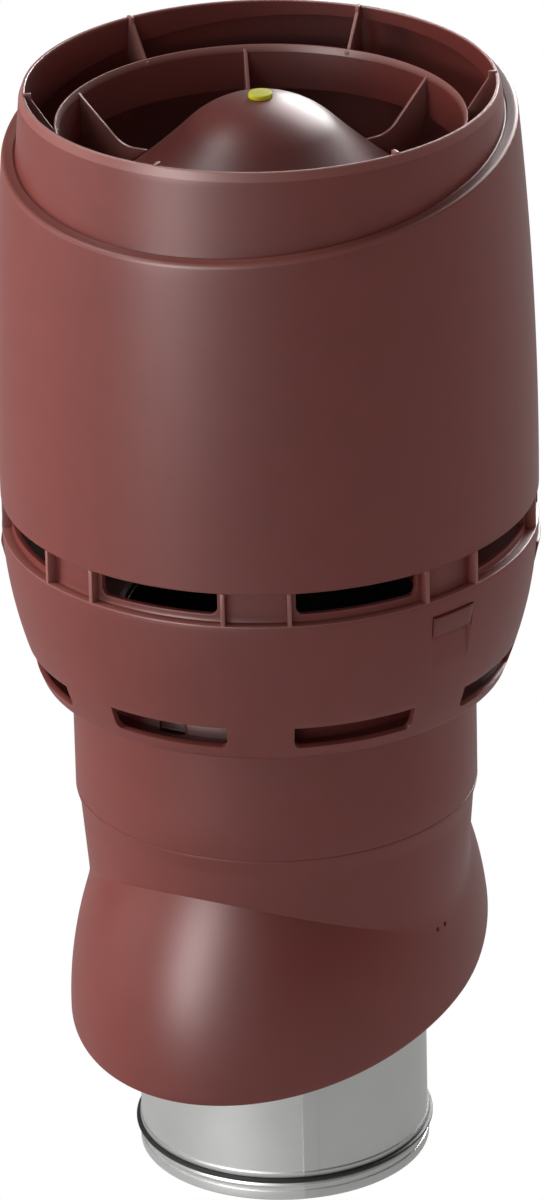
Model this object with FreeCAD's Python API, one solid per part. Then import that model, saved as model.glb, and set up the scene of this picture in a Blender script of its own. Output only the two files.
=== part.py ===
import FreeCAD, Part
import math
import os

Vector = FreeCAD.Vector

# Roof ventilation outlet: a moulded hood on a pipe with a roof skirt, around a steel duct.
# Millimetres. Z runs up the duct axis from the lower end of the steel spigot.
# The downhill side of the roof is -Y. A bearing is in degrees from there towards +X.

# Steel duct, its rolled end and lip seal
DUCT_RADIUS = 78.2
DUCT_WALL = 0.8
DUCT_TOP_INSET = 3.0
SEAM_BEARING = 36.0
SEAM_WIDTH = 8.0
SEAM_RISE = 0.5
HEM_RISE = 0.7
HEM_EDGE = 0.6
HEM_BAND = 4.6
HEM_GROOVE = 1.6
BEAD_RISE = 1.4
BEAD_HEIGHT = 3.7
SEAL_SEAT = 3.1
SEAL_REACH = 1.4
BACK_BAND = 2.6

# Roof skirt, an oblate shell cut along the roof slope
SKIRT_AXIS_Z = 108.4
SKIRT_HALF_WIDTH = 111.0
SKIRT_HALF_DEPTH = 133.0
HEM_RAISE = 17.0
ROOF_SLOPE = 17.2
PIPE_WALL = 3.5
SCREW_HOLE = 2.7
SCREW_SPACING = 7.3
SCREW_RISE = 43.4
SCREW_FORWARD = 13.2

# Pipe cone and neck
NECK_STEP = 2.2
NECK_CHAMFER = 7.6
NECK_SHOWN = 69.4
NECK_RISE = 23.6
PIPE_TAPER = 4.75
BEAD_SEAT = 2.8
BEAD_SEAT_HEIGHT = 3.4
LOCK_COUNT = 3
LOCK_BEARING = -4.0
LOCK_WIDTH = 15.5
LOCK_HEIGHT = 8.0
LOCK_CORNER = 2.0
LUG_WIDTH = 11.0

# Insulation and closing ring
INSULATION_WALL = 24.9
INSULATION_RISE = 42.0
CAP_WALL = 3.0
CAP_LIP = 4.0
CAP_LIP_WALL = 3.0
CAP_COLLAR = 7.0
CAP_COLLAR_WALL = 2.5

# Drip bowl
BOWL_FLOOR_Z = 286.4
BOWL_FLOOR_RADIUS = 123.6
BOWL_HEIGHT = 84.0
BOWL_BULGE = 3.8
BOWL_WALL = 3.0
BAND_RECESS = 5.5
BAND_HEIGHT = 25.6
SLOT_COUNT = 8
DRAIN_SLOT_WIDTH = 64.0
DRAIN_SLOT_RAISE = 7.0
DRAIN_SLOT_HEIGHT = 13.5
DRAIN_SLOT_CORNER = 4.0
AIR_SLOT_WIDTH = 66.0
AIR_SLOT_RAISE = 4.0
AIR_SLOT_HEIGHT = 17.6
AIR_SLOT_CORNER = 4.0
RIB_BEARING = 15.5
RIB_THICK = 2.2
RIB_HEIGHT = 18.1
RIB_GUIDE_HEIGHT = 6.0

# Hood jacket with its slanted shoulder, collar and snap tongues
HOOD_RADIUS = 142.0
HOOD_HEIGHT = 225.1
HOOD_WALL = 3.0
HOOD_TAPER = 10.3
HOOD_BULGE = 3.1
SHOULDER_BACK = 2.63
SHOULDER_SLOPE = 9.3
SHOULDER_ROUND = 4.5
SHOULDER_LEDGE = 6.7
COLLAR_TAPER = 5.0
RIM_CHAMFER = 1.8
RIM_CHAMFER_HEIGHT = 4.6
TONGUE_BEARINGS = (67.5, 112.5, -112.5, -67.5)
TONGUE_WIDTH = 11.0
TONGUE_GAP = 0.8
TONGUE_STEM = 2.4
TONGUE_BRIDGE = 3.0
NOSE_DROP = 21.5
NOSE_HEIGHT = 11.5
NOSE_PROUD = 1.4
PRY_DEPTH = 1.9
PRY_HEIGHT = 18.4

# Guide ring with its vanes
RING_DROP = 18.9
RING_HEIGHT = 24.0
RING_WALL = 2.5
RING_FLARE = 1.0
RING_CHAMFER = 1.6
RING_CHAMFER_HEIGHT = 3.5
OUTER_GAP = 14.6
VANE_COUNT = 6
VANE_THICK = 2.0
VANE_SET = 1.0
OUTER_VANE_LIFT = 2.6
OUTER_VANE_DROP = 20.0
TAB_RISE = 0.9
TAB_LENGTH = 3.0

# Deflector bell and its peak plug
BELL_GAP = 13.5
BELL_PEAK_DROP = 5.5
BELL_ROUND = 34.6
BELL_STEEP = 41.4
BELL_SPREAD = 31.4
BELL_FLAT = 1.6
BELL_WALL = 2.5
BELL_FOOT = 3.5
BELL_FOOT_REACH = 5.0
VANE_FALL = 46.0
VANE_SADDLE_DROP = 27.7
VANE_SADDLE_ROUND = 20.0
VANE_TIP = 31.0
PLUG_RADIUS = 6.3
PLUG_THICK = 2.4
PLUG_EDGE = 0.8
PLUG_STEM_RADIUS = 2.8
PLUG_STEM_LENGTH = 9.0

# Room between pieces that slide into each other
FIT = 0.3

# How far a cutter runs past what it cuts
PAST = 10.0

# Levels and radii that follow from the sizes above
NECK_TOP_Z = BOWL_FLOOR_Z + NECK_RISE
NECK_START_Z = BOWL_FLOOR_Z - NECK_SHOWN
CONE_TOP_Z = NECK_START_Z - NECK_CHAMFER
CAP_TOP_Z = NECK_TOP_Z + CAP_WALL
COLLAR_TOP_Z = CAP_TOP_Z + CAP_COLLAR
LIP_Z = BOWL_FLOOR_Z + BOWL_HEIGHT
BAND_TOP_Z = LIP_Z + BAND_HEIGHT
HOOD_FOOT_Z = LIP_Z + RIB_HEIGHT
RIM_Z = HOOD_FOOT_Z + HOOD_HEIGHT
RING_TOP_Z = RIM_Z - RING_DROP
RING_FOOT_Z = RING_TOP_Z - RING_HEIGHT
BELL_TOP_Z = RIM_Z - BELL_PEAK_DROP
NOSE_FOOT_Z = LIP_Z - NOSE_DROP
NOSE_TOP_Z = NOSE_FOOT_Z + NOSE_HEIGHT
DUCT_CLEAR = DUCT_RADIUS + SEAM_RISE + FIT
NECK_BORE = DUCT_CLEAR + INSULATION_WALL + FIT
NECK_RADIUS = NECK_BORE + PIPE_WALL
CAP_COLLAR_RADIUS = DUCT_CLEAR + CAP_COLLAR_WALL
BAND_RADIUS = HOOD_RADIUS - BAND_RECESS
BAND_BORE = BAND_RADIUS - BOWL_WALL
HOOD_TOP_RADIUS = HOOD_RADIUS - HOOD_TAPER
SHOULDER_DROP = SHOULDER_BACK + HOOD_TOP_RADIUS * math.tan(math.radians(SHOULDER_SLOPE))
COLLAR_RADIUS = HOOD_TOP_RADIUS - SHOULDER_LEDGE
CHAMFER_Z = RIM_Z - RIM_CHAMFER_HEIGHT
RIM_RADIUS = COLLAR_RADIUS - RIM_CHAMFER


def collar_radius(z):
    """Outer radius of the collar's cone at a height."""
    return COLLAR_RADIUS + (CHAMFER_Z - z) * math.tan(math.radians(COLLAR_TAPER))


COLLAR_BORE = collar_radius(RIM_Z) - HOOD_WALL
RING_RADIUS = COLLAR_BORE - OUTER_GAP
RING_FOOT_RADIUS = RING_RADIUS - RING_FLARE
BELL_RADIUS = RING_RADIUS - RING_WALL - BELL_GAP
STEEP = math.radians(BELL_STEEP)
SPREAD = math.radians(BELL_SPREAD)
DOME_CENTRE_Z = BELL_TOP_Z - BELL_ROUND
BELL_FLARE = (BELL_RADIUS - BELL_ROUND * math.sin(STEEP)) / (math.sin(STEEP) - math.sin(SPREAD))
FLARE_CENTRE_R = (BELL_ROUND + BELL_FLARE) * math.sin(STEEP)
FLARE_CENTRE_Z = DOME_CENTRE_Z + (BELL_ROUND + BELL_FLARE) * math.cos(STEEP)
BELL_RIM_Z = FLARE_CENTRE_Z - BELL_FLARE * math.cos(SPREAD)


def spot(radius, z):
    """Point of a profile in the half plane that is turned about the axis."""
    return Vector(radius, 0, z)


def bowed(start, end, bulge):
    """Middle point of an arc that bows outwards from a rising chord by the bulge."""
    rise = end[1] - start[1]
    run = end[0] - start[0]
    length = math.hypot(run, rise)
    middle_r = (start[0] + end[0]) / 2 + bulge * rise / length
    middle_z = (start[1] + end[1]) / 2 - bulge * run / length
    return (middle_r, middle_z)


def arc_radius(start, end, bulge, z):
    """Radius at a height on an arc that bows outwards from a rising chord."""
    middle = bowed(start, end, bulge)
    circle = Part.Arc(spot(*start), spot(*middle), spot(*end)).toShape().Curve
    rise = z - circle.Center.z
    return circle.Center.x + math.sqrt(circle.Radius ** 2 - rise ** 2)


def outline(*stops):
    """Face of a closed profile. A stop is a corner, or a pair: arc's middle point and its end."""
    corners = []
    edges = []
    for stop in stops:
        is_arc = isinstance(stop[0], tuple)
        end = spot(*(stop[1] if is_arc else stop))
        if corners and is_arc:
            edges.append(Part.Arc(corners[-1], spot(*stop[0]), end).toShape())
        elif corners:
            edges.append(Part.LineSegment(corners[-1], end).toShape())
        corners.append(end)
    edges.append(Part.LineSegment(corners[-1], corners[0]).toShape())
    return Part.Face(Part.Wire(edges))


def turned(face, degrees=360.0):
    """Solid made by turning a profile about the axis, centred on the bearing of +X."""
    solid = face.revolve(Vector(0, 0, 0), Vector(0, 0, 1), degrees)
    if degrees < 360.0:
        solid.rotate(Vector(0, 0, 0), Vector(0, 0, 1), -degrees / 2)
    return solid


def plate(face, thickness):
    """Flat plate with the profile as its side, centred on the bearing of +X."""
    solid = face.extrude(Vector(0, thickness, 0))
    solid.translate(Vector(0, -thickness / 2, 0))
    return solid


def at_bearing(solid, bearing):
    """Copy of a solid that was made on +X, carried to a bearing."""
    placed = solid.copy()
    placed.rotate(Vector(0, 0, 0), Vector(0, 0, 1), bearing - 90.0)
    return placed


def around(solid, count, first=0.0):
    """Copies of a solid evenly round the axis, from the first bearing on."""
    return [at_bearing(solid, first + 360.0 * step / count) for step in range(count)]


def window(width, low, high, near, far, low_corner, high_corner=0.0):
    """Radial cutter with rounded lower corners, and upper ones where a radius is given."""
    half = width / 2
    turn = math.sqrt(0.5)
    edges = []
    here = Vector(near, -half, high - high_corner)

    def run(y, z):
        nonlocal here
        there = Vector(near, y, z)
        edges.append(Part.LineSegment(here, there).toShape())
        here = there

    def corner(centre_y, centre_z, side_y, side_z, radius, end_y, end_z):
        nonlocal here
        middle = Vector(near, centre_y + side_y * radius * turn, centre_z + side_z * radius * turn)
        there = Vector(near, end_y, end_z)
        edges.append(Part.Arc(here, middle, there).toShape())
        here = there

    run(-half, low + low_corner)
    corner(low_corner - half, low + low_corner, -1, -1, low_corner, low_corner - half, low)
    run(half - low_corner, low)
    corner(half - low_corner, low + low_corner, 1, -1, low_corner, half, low + low_corner)
    run(half, high - high_corner)
    if high_corner > 0:
        corner(half - high_corner, high - high_corner, 1, 1, high_corner, half - high_corner, high)
        run(high_corner - half, high)
        corner(high_corner - half, high - high_corner, -1, 1, high_corner, -half, high - high_corner)
    else:
        run(-half, high)
    return Part.Face(Part.Wire(edges)).extrude(Vector(far - near, 0, 0))


def below(z, slope):
    """Everything under a plane that passes the axis at z and rises towards the back."""
    side = 4 * (HOOD_RADIUS + SKIRT_HALF_DEPTH)
    block = Part.makeBox(side, side, side, Vector(-side / 2, -side / 2, -side))
    block.rotate(Vector(0, 0, 0), Vector(1, 0, 0), slope)
    block.translate(Vector(0, 0, z))
    return block


def steel_duct():
    """Tube with a lap seam, its end rolled into a band, a bead and the seat of the lip seal."""
    hem = DUCT_RADIUS + HEM_RISE
    bead = DUCT_RADIUS + BEAD_RISE
    bore = DUCT_RADIUS - DUCT_WALL
    band_top = HEM_EDGE + HEM_BAND
    bead_foot = band_top + HEM_GROOVE
    seat_foot = bead_foot + BEAD_HEIGHT
    seat_top = seat_foot + SEAL_SEAT
    back_top = seat_top + BACK_BAND
    top = COLLAR_TOP_Z - DUCT_TOP_INSET
    tube = turned(outline(
        (bore, 0), (hem - HEM_EDGE, 0), (hem, HEM_EDGE), (hem, band_top),
        (DUCT_RADIUS, band_top), (DUCT_RADIUS, bead_foot),
        ((bead, (bead_foot + seat_foot) / 2), (hem, seat_foot)),
        (DUCT_RADIUS, seat_foot), (DUCT_RADIUS, seat_top), (hem, seat_top),
        (hem, back_top), (DUCT_RADIUS, back_top + HEM_RISE), (DUCT_RADIUS, top), (bore, top)))
    middle = (bore + DUCT_RADIUS) / 2
    ridge = DUCT_RADIUS + SEAM_RISE
    seam = turned(outline(
        (middle, back_top + HEM_RISE), (ridge, back_top + HEM_RISE), (ridge, top), (middle, top)),
        math.degrees(SEAM_WIDTH / DUCT_RADIUS))
    return tube.fuse(at_bearing(seam, SEAM_BEARING)).removeSplitter()


def duct_seal():
    """Rubber ring in its seat, with a lip that leans up and stands past the bead."""
    foot = HEM_EDGE + HEM_BAND + HEM_GROOVE + BEAD_HEIGHT
    top = foot + SEAL_SEAT - FIT
    inner = DUCT_RADIUS + FIT
    bead = DUCT_RADIUS + BEAD_RISE
    tip = bead + SEAL_REACH
    return turned(outline(
        (inner, foot), (bead, foot), (tip, foot + SEAL_SEAT / 2), (tip, top - FIT),
        (bead, top), (inner, top)))


def pipe_body(shrink):
    """Filled skirt, cone and neck, drawn in by a wall's thickness on every side."""
    width = SKIRT_HALF_WIDTH - shrink
    depth = SKIRT_HALF_DEPTH - shrink
    centre = Vector(0, 0, SKIRT_AXIS_Z)
    ellipse = Part.Ellipse(centre + Vector(0, depth, 0), centre + Vector(width, 0, 0), centre)
    arc = Part.Arc(ellipse, -math.pi / 2, math.pi / 2).toShape()
    axis = Part.LineSegment(arc.Vertexes[-1].Point, arc.Vertexes[0].Point).toShape()
    skirt = Part.Face(Part.Wire([arc, axis])).revolve(centre, Vector(1, 0, 0), 360)
    cone_top = NECK_RADIUS - NECK_STEP - shrink
    cone_foot = cone_top - (CONE_TOP_Z - SKIRT_AXIS_Z) * math.tan(math.radians(PIPE_TAPER))
    neck = NECK_RADIUS - shrink
    top = NECK_TOP_Z + (PAST if shrink else 0)
    pipe = turned(outline(
        (0, SKIRT_AXIS_Z), (cone_foot, SKIRT_AXIS_Z), (cone_top, CONE_TOP_Z),
        (neck, NECK_START_Z), (neck, top), (0, top)))
    return skirt.fuse(pipe)


def outer_pipe():
    """Pipe moulded with its roof skirt, lock windows in the neck and screw holes in the flanks."""
    shell = pipe_body(0).cut(pipe_body(PIPE_WALL))
    shell = shell.cut(below(SKIRT_AXIS_Z + HEM_RAISE, ROOF_SLOPE))
    seat = NECK_RADIUS + BEAD_SEAT
    inside = NECK_RADIUS - PIPE_WALL / 2
    bead = turned(outline(
        (inside, BOWL_FLOOR_Z - BEAD_SEAT_HEIGHT - BEAD_SEAT),
        (NECK_RADIUS, BOWL_FLOOR_Z - BEAD_SEAT_HEIGHT - BEAD_SEAT),
        (seat, BOWL_FLOOR_Z - BEAD_SEAT_HEIGHT), (seat, BOWL_FLOOR_Z), (inside, BOWL_FLOOR_Z)))
    shell = shell.fuse(bead)
    lock = window(LOCK_WIDTH, BOWL_FLOOR_Z, BOWL_FLOOR_Z + LOCK_HEIGHT, NECK_BORE - PAST,
                  NECK_RADIUS + PAST, LOCK_CORNER, LOCK_CORNER)
    cutters = around(lock, LOCK_COUNT, LOCK_BEARING)
    for step in (0, 1):
        forward = SCREW_FORWARD + (step - 0.5) * SCREW_SPACING
        start = Vector(-SKIRT_HALF_WIDTH - PAST, -forward, SKIRT_AXIS_Z + SCREW_RISE)
        reach = 2 * (SKIRT_HALF_WIDTH + PAST)
        cutters.append(Part.makeCylinder(SCREW_HOLE / 2, reach, start, Vector(1, 0, 0)))
    return shell.cut(Part.makeCompound(cutters))


def insulation_sleeve():
    """Foam sleeve between the duct and the pipe, up to the lip of the closing ring."""
    foot = SKIRT_AXIS_Z + INSULATION_RISE
    top = NECK_TOP_Z - CAP_LIP
    neck = NECK_BORE - FIT
    cone_top = neck - NECK_STEP
    cone_foot = cone_top - (CONE_TOP_Z - foot) * math.tan(math.radians(PIPE_TAPER))
    return turned(outline(
        (DUCT_CLEAR, foot), (cone_foot, foot), (cone_top, CONE_TOP_Z), (neck, NECK_START_Z),
        (neck, top), (DUCT_CLEAR, top)))


def pipe_cap():
    """Closing ring on the neck, with a lip inside the pipe and a collar round the duct."""
    lip = NECK_BORE - FIT
    return turned(outline(
        (DUCT_CLEAR, NECK_TOP_Z), (lip - CAP_LIP_WALL, NECK_TOP_Z),
        (lip - CAP_LIP_WALL, NECK_TOP_Z - CAP_LIP), (lip, NECK_TOP_Z - CAP_LIP),
        (lip, NECK_TOP_Z), (NECK_RADIUS, NECK_TOP_Z), (NECK_RADIUS, CAP_TOP_Z),
        (CAP_COLLAR_RADIUS, CAP_TOP_Z), (CAP_COLLAR_RADIUS, COLLAR_TOP_Z),
        (DUCT_CLEAR, COLLAR_TOP_Z)))


BOWL_FOOT = (BOWL_FLOOR_RADIUS, BOWL_FLOOR_Z)
BOWL_LIP = (HOOD_RADIUS, LIP_Z)


def bowl_radius(z):
    """Outer radius of the bowl at a height."""
    return arc_radius(BOWL_FOOT, BOWL_LIP, BOWL_BULGE, z)


def bowl_shell():
    """Turned wall of the bowl: floor, bowed side, ledge and recessed band."""
    inner_foot = (bowl_radius(BOWL_FLOOR_Z + BOWL_WALL) - BOWL_WALL, BOWL_FLOOR_Z + BOWL_WALL)
    inner_top = (HOOD_RADIUS - BOWL_WALL, LIP_Z - BOWL_WALL)
    middle_z = (inner_foot[1] + inner_top[1]) / 2
    inner_middle = (bowl_radius(middle_z) - BOWL_WALL, middle_z)
    bore = NECK_RADIUS + FIT
    return turned(outline(
        (bore, BOWL_FLOOR_Z), BOWL_FOOT, (bowed(BOWL_FOOT, BOWL_LIP, BOWL_BULGE), BOWL_LIP),
        (BAND_RADIUS, LIP_Z), (BAND_RADIUS, BAND_TOP_Z), (BAND_BORE, BAND_TOP_Z),
        (BAND_BORE, LIP_Z - BOWL_WALL), inner_top, (inner_middle, inner_foot),
        (bore, BOWL_FLOOR_Z + BOWL_WALL)))


def tongue_pocket():
    """Cutter for a tongue's nose and for the pry ramp under it."""
    ramp_foot = NOSE_FOOT_Z - PRY_HEIGHT
    deep = bowl_radius(NOSE_FOOT_Z) - PRY_DEPTH
    past = HOOD_RADIUS + PAST
    nose = turned(outline(
        (BAND_BORE - PAST / 2, NOSE_FOOT_Z - TONGUE_GAP), (past, NOSE_FOOT_Z - TONGUE_GAP),
        (past, NOSE_TOP_Z + TONGUE_GAP), (BAND_BORE - PAST / 2, NOSE_TOP_Z + TONGUE_GAP)),
        TONGUE_WIDTH + 2 * math.degrees(TONGUE_GAP / HOOD_RADIUS))
    ramp = turned(outline(
        (bowl_radius(ramp_foot), ramp_foot), (past, ramp_foot), (past, NOSE_FOOT_Z),
        (deep, NOSE_FOOT_Z)), TONGUE_WIDTH)
    return nose.fuse(ramp)


def drip_bowl():
    """Slotted bowl on the neck's bead, with lugs in the lock windows and ribs under the hood."""
    guide = BAND_RADIUS + BAND_RECESS - HOOD_WALL - FIT
    inside = BAND_RADIUS - BOWL_WALL / 2
    rib = plate(outline(
        (inside, LIP_Z - BOWL_WALL / 2), (HOOD_RADIUS - FIT, LIP_Z - BOWL_WALL / 2),
        (HOOD_RADIUS - FIT, HOOD_FOOT_Z), (guide, HOOD_FOOT_Z),
        (guide, HOOD_FOOT_Z + RIB_GUIDE_HEIGHT), (inside, HOOD_FOOT_Z + RIB_GUIDE_HEIGHT)), RIB_THICK)
    lug = plate(outline(
        (NECK_BORE + FIT, BOWL_FLOOR_Z), (NECK_RADIUS + BEAD_SEAT, BOWL_FLOOR_Z),
        (NECK_RADIUS + BEAD_SEAT, BOWL_FLOOR_Z + BOWL_WALL),
        (NECK_BORE + FIT, BOWL_FLOOR_Z + BOWL_WALL)), LUG_WIDTH)
    additions = around(lug, LOCK_COUNT, LOCK_BEARING)
    for side in (-RIB_BEARING, RIB_BEARING):
        additions += around(rib, SLOT_COUNT, side)
    drain_foot = BOWL_FLOOR_Z + DRAIN_SLOT_RAISE
    drain = window(DRAIN_SLOT_WIDTH, drain_foot, drain_foot + DRAIN_SLOT_HEIGHT,
                   NECK_RADIUS, HOOD_RADIUS + PAST, DRAIN_SLOT_CORNER)
    air_foot = LIP_Z + AIR_SLOT_RAISE
    air = window(AIR_SLOT_WIDTH, air_foot, air_foot + AIR_SLOT_HEIGHT,
                 NECK_RADIUS, HOOD_RADIUS + PAST, AIR_SLOT_CORNER)
    cutters = around(drain, SLOT_COUNT) + around(air, SLOT_COUNT)
    pocket = tongue_pocket()
    cutters += [at_bearing(pocket, bearing) for bearing in TONGUE_BEARINGS]
    return bowl_shell().fuse(additions).cut(Part.makeCompound(cutters))


def hood_body(shrink):
    """Filled barrel with a slanted rounded shoulder, and the collar on it, drawn in by a wall."""
    foot = (HOOD_RADIUS - shrink, HOOD_FOOT_Z)
    top = (HOOD_TOP_RADIUS - shrink, RIM_Z)
    barrel = turned(outline(
        (0, HOOD_FOOT_Z), foot, (bowed(foot, top, HOOD_BULGE), top), (0, RIM_Z)))
    shoulder_z = RIM_Z - SHOULDER_DROP - shrink / math.cos(math.radians(SHOULDER_SLOPE))
    barrel = barrel.common(below(shoulder_z, SHOULDER_SLOPE))
    shoulder = max(barrel.Faces, key=lambda face: face.CenterOfMass.z)
    barrel = barrel.makeFillet(SHOULDER_ROUND - shrink / 2, shoulder.Edges)
    low = HOOD_FOOT_Z + HOOD_HEIGHT / 2
    if shrink:
        collar = outline((0, low), (collar_radius(low) - shrink, low),
                         (collar_radius(RIM_Z) - shrink, RIM_Z), (0, RIM_Z))
    else:
        collar = outline((0, low), (collar_radius(low), low), (COLLAR_RADIUS, CHAMFER_Z),
                         (RIM_RADIUS, RIM_Z), (0, RIM_Z))
    return barrel.fuse(turned(collar))


def tongue():
    """Snap tongue: a bridge from the jacket, a stem inside the band and a nose in the bowl's pocket."""
    bridge_foot = BAND_TOP_Z + TONGUE_BRIDGE
    bridge_top = bridge_foot + TONGUE_BRIDGE
    stem = BAND_BORE - FIT
    root = HOOD_RADIUS - HOOD_WALL / 2
    return turned(outline(
        (stem - TONGUE_STEM, NOSE_FOOT_Z), (bowl_radius(NOSE_FOOT_Z), NOSE_FOOT_Z),
        (bowl_radius(NOSE_TOP_Z) + NOSE_PROUD, NOSE_TOP_Z), (stem, NOSE_TOP_Z),
        (stem, bridge_foot), (root, bridge_foot), (root, bridge_top),
        (stem - TONGUE_STEM, bridge_top)), TONGUE_WIDTH)


def hood_jacket():
    """Barrel jacket with slanted shoulder and collar, and the snap tongues that hold the bowl."""
    shell = hood_body(0).cut(hood_body(HOOD_WALL))
    snap = tongue()
    return shell.fuse([at_bearing(snap, bearing) for bearing in TONGUE_BEARINGS])


def bell_body(shrink):
    """Filled bell: a domed top tangent to a hollow flare down to the rim, drawn in by a wall."""
    dome = BELL_ROUND - shrink
    flare = BELL_FLARE + shrink
    foot = math.acos((FLARE_CENTRE_Z - BELL_RIM_Z) / flare)

    def on_dome(lean):
        return (dome * math.sin(lean), DOME_CENTRE_Z + dome * math.cos(lean))

    def on_flare(lean):
        return (FLARE_CENTRE_R - flare * math.sin(lean), FLARE_CENTRE_Z - flare * math.cos(lean))

    return turned(outline(
        (0, BELL_RIM_Z), on_flare(foot), (on_flare((foot + STEEP) / 2), on_dome(STEEP)),
        (on_dome(STEEP / 2), on_dome(0))))


def deflector_bell():
    """Thin bell over the duct, flattened at its peak, with a hole for the plug."""
    shell = bell_body(0).cut(bell_body(BELL_WALL))
    peak = Vector(0, 0, BELL_TOP_Z - BELL_FLAT)
    hole = Part.makeCylinder(PLUG_STEM_RADIUS + FIT, 2 * BELL_ROUND, Vector(0, 0, BELL_TOP_Z - BELL_ROUND))
    return shell.cut(Part.makeCylinder(BELL_RADIUS, PAST, peak)).cut(hole)


def peak_plug():
    """Flat plug with a rounded edge on the bell's peak, its stem in the hole."""
    foot = BELL_TOP_Z - BELL_FLAT
    top = foot + PLUG_THICK
    end = foot - PLUG_STEM_LENGTH
    return turned(outline(
        (0, end), (PLUG_STEM_RADIUS - PLUG_EDGE, end), (PLUG_STEM_RADIUS, end + PLUG_EDGE),
        (PLUG_STEM_RADIUS, foot), (PLUG_RADIUS, foot), (PLUG_RADIUS, top - PLUG_EDGE),
        (PLUG_RADIUS - PLUG_EDGE, top), (0, top)))


def outer_vane():
    """Plate from the ring to the collar, with a tab that hooks over the rim."""
    inside = RING_FOOT_RADIUS - RING_WALL / 2
    wall = COLLAR_BORE - FIT
    foot = RIM_Z - RING_DROP - OUTER_VANE_DROP
    spread = (RIM_Z - foot) * math.tan(math.radians(COLLAR_TAPER))
    tab = RIM_RADIUS - FIT
    return plate(outline(
        (inside, foot), (wall + spread, foot), (wall, RIM_Z), (tab, RIM_Z), (tab, RIM_Z + TAB_RISE),
        (wall - TAB_LENGTH, RIM_Z + TAB_RISE), (wall - TAB_LENGTH, RIM_Z - OUTER_VANE_LIFT),
        (RING_RADIUS, RING_TOP_Z - VANE_SET), (inside, RING_TOP_Z - VANE_SET)), VANE_THICK)


def inner_vane():
    """Plate that falls from the ring to a level saddle on the bell, with a foot under the bell's rim."""
    inside = RING_RADIUS - RING_WALL / 4
    high = RING_TOP_Z - VANE_SET
    foot = RING_FOOT_Z + VANE_SET
    saddle_z = RING_TOP_Z - VANE_SADDLE_DROP
    fall = math.radians(VANE_FALL)
    corner = inside - (high - saddle_z) / math.tan(fall)
    reach = VANE_SADDLE_ROUND * math.tan(fall / 2)
    bend = (corner - reach + VANE_SADDLE_ROUND * math.sin(fall / 2),
            saddle_z + VANE_SADDLE_ROUND * (1 - math.cos(fall / 2)))
    toe = BELL_RADIUS - BELL_FOOT_REACH
    low = BELL_RIM_Z - BELL_FOOT
    heel = BELL_RADIUS + BELL_FOOT_REACH
    wall = RING_FOOT_RADIUS - RING_WALL - FIT
    return plate(outline(
        (inside, foot), (inside, high),
        (corner + reach * math.cos(fall), saddle_z + reach * math.sin(fall)), (bend, (corner - reach, saddle_z)),
        (BELL_RADIUS - VANE_TIP, saddle_z), (toe, BELL_RIM_Z), (toe, low), (heel, low), (wall, foot)), VANE_THICK)


def guide_ring():
    """Flared ring with vanes out to the collar and in to the bell."""
    inner = RING_RADIUS - RING_WALL
    ring = turned(outline(
        (RING_FOOT_RADIUS - RING_WALL, RING_FOOT_Z), (RING_FOOT_RADIUS, RING_FOOT_Z),
        (RING_RADIUS, RING_TOP_Z), (inner + RING_CHAMFER, RING_TOP_Z),
        (inner, RING_TOP_Z - RING_CHAMFER_HEIGHT)))
    step = 360.0 / VANE_COUNT
    room = bell_body(-FIT)
    fins = [fin.cut(room) for fin in around(inner_vane(), VANE_COUNT, step / 2)]
    return ring.fuse(around(outer_vane(), VANE_COUNT) + fins)


NODES = (steel_duct, duct_seal, outer_pipe, insulation_sleeve, pipe_cap, drip_bowl, hood_jacket,
         guide_ring, deflector_bell, peak_plug)

os.makedirs("parts", exist_ok=True)
for make in NODES:
    shape = make()
    shape.exportStep("parts/" + make.__name__ + ".step")
    box = shape.BoundBox
    print(make.__name__, len(shape.Solids), shape.isValid(), round(shape.Volume / 1000, 2),
          [round(value, 2) for value in (box.XMin, box.XMax, box.YMin, box.YMax, box.ZMin, box.ZMax)])
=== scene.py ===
"""Looks of a roof ventilation outlet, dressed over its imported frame.

Every piece is a surface worked out with numpy in the frame's own metres. A bearing is an angle in
degrees from the downhill side of the roof (-Y) towards +X, and a profile is a run of (radius, height)
points that is carried round the duct axis.
"""
import logging
import math
from dataclasses import dataclass, field
from enum import Enum
from functools import partial
from typing import Callable, Sequence

import bmesh
import bpy
import numpy as np
from mathutils import Matrix, Vector


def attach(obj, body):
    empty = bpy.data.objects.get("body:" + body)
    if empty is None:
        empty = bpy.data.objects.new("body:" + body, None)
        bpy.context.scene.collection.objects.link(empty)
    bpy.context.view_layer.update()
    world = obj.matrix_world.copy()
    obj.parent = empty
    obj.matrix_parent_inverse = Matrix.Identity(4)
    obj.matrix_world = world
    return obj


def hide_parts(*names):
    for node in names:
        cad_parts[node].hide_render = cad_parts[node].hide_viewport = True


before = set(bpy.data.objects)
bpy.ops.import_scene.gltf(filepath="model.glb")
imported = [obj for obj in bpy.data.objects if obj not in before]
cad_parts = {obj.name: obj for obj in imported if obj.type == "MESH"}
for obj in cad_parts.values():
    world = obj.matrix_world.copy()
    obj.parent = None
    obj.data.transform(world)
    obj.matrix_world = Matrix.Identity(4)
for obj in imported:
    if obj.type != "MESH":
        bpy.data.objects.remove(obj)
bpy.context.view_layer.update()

LOG = logging.getLogger("roof_outlet")
BODY = "root"
MM = 0.001
# Point attributes that paint light into the colour: a painted highlight on edges and rims, and painted shade
EDGE_HIGHLIGHT_ATTRIBUTE = "edge"
PAINTED_SHADE_ATTRIBUTE = "shade"
MOTTLE_SCALE = 55.0
ROUNDING_SHARE = 0.49
MERGE_DISTANCE = 0.0001 * MM
# Sizes where one piece meets another
SEAT_Z = 286.4 * MM
HOOD_FOOT_Z = 388.5 * MM
RIM_Z = 613.6 * MM
HOOD_RADIUS = 142.0 * MM
COLLAR_TAPER = math.radians(5.0)
LOCK_BEARINGS = (-4.0, 116.0, 236.0)
TONGUE_BEARINGS = (67.5, 112.5, -112.5, -67.5)


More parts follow.
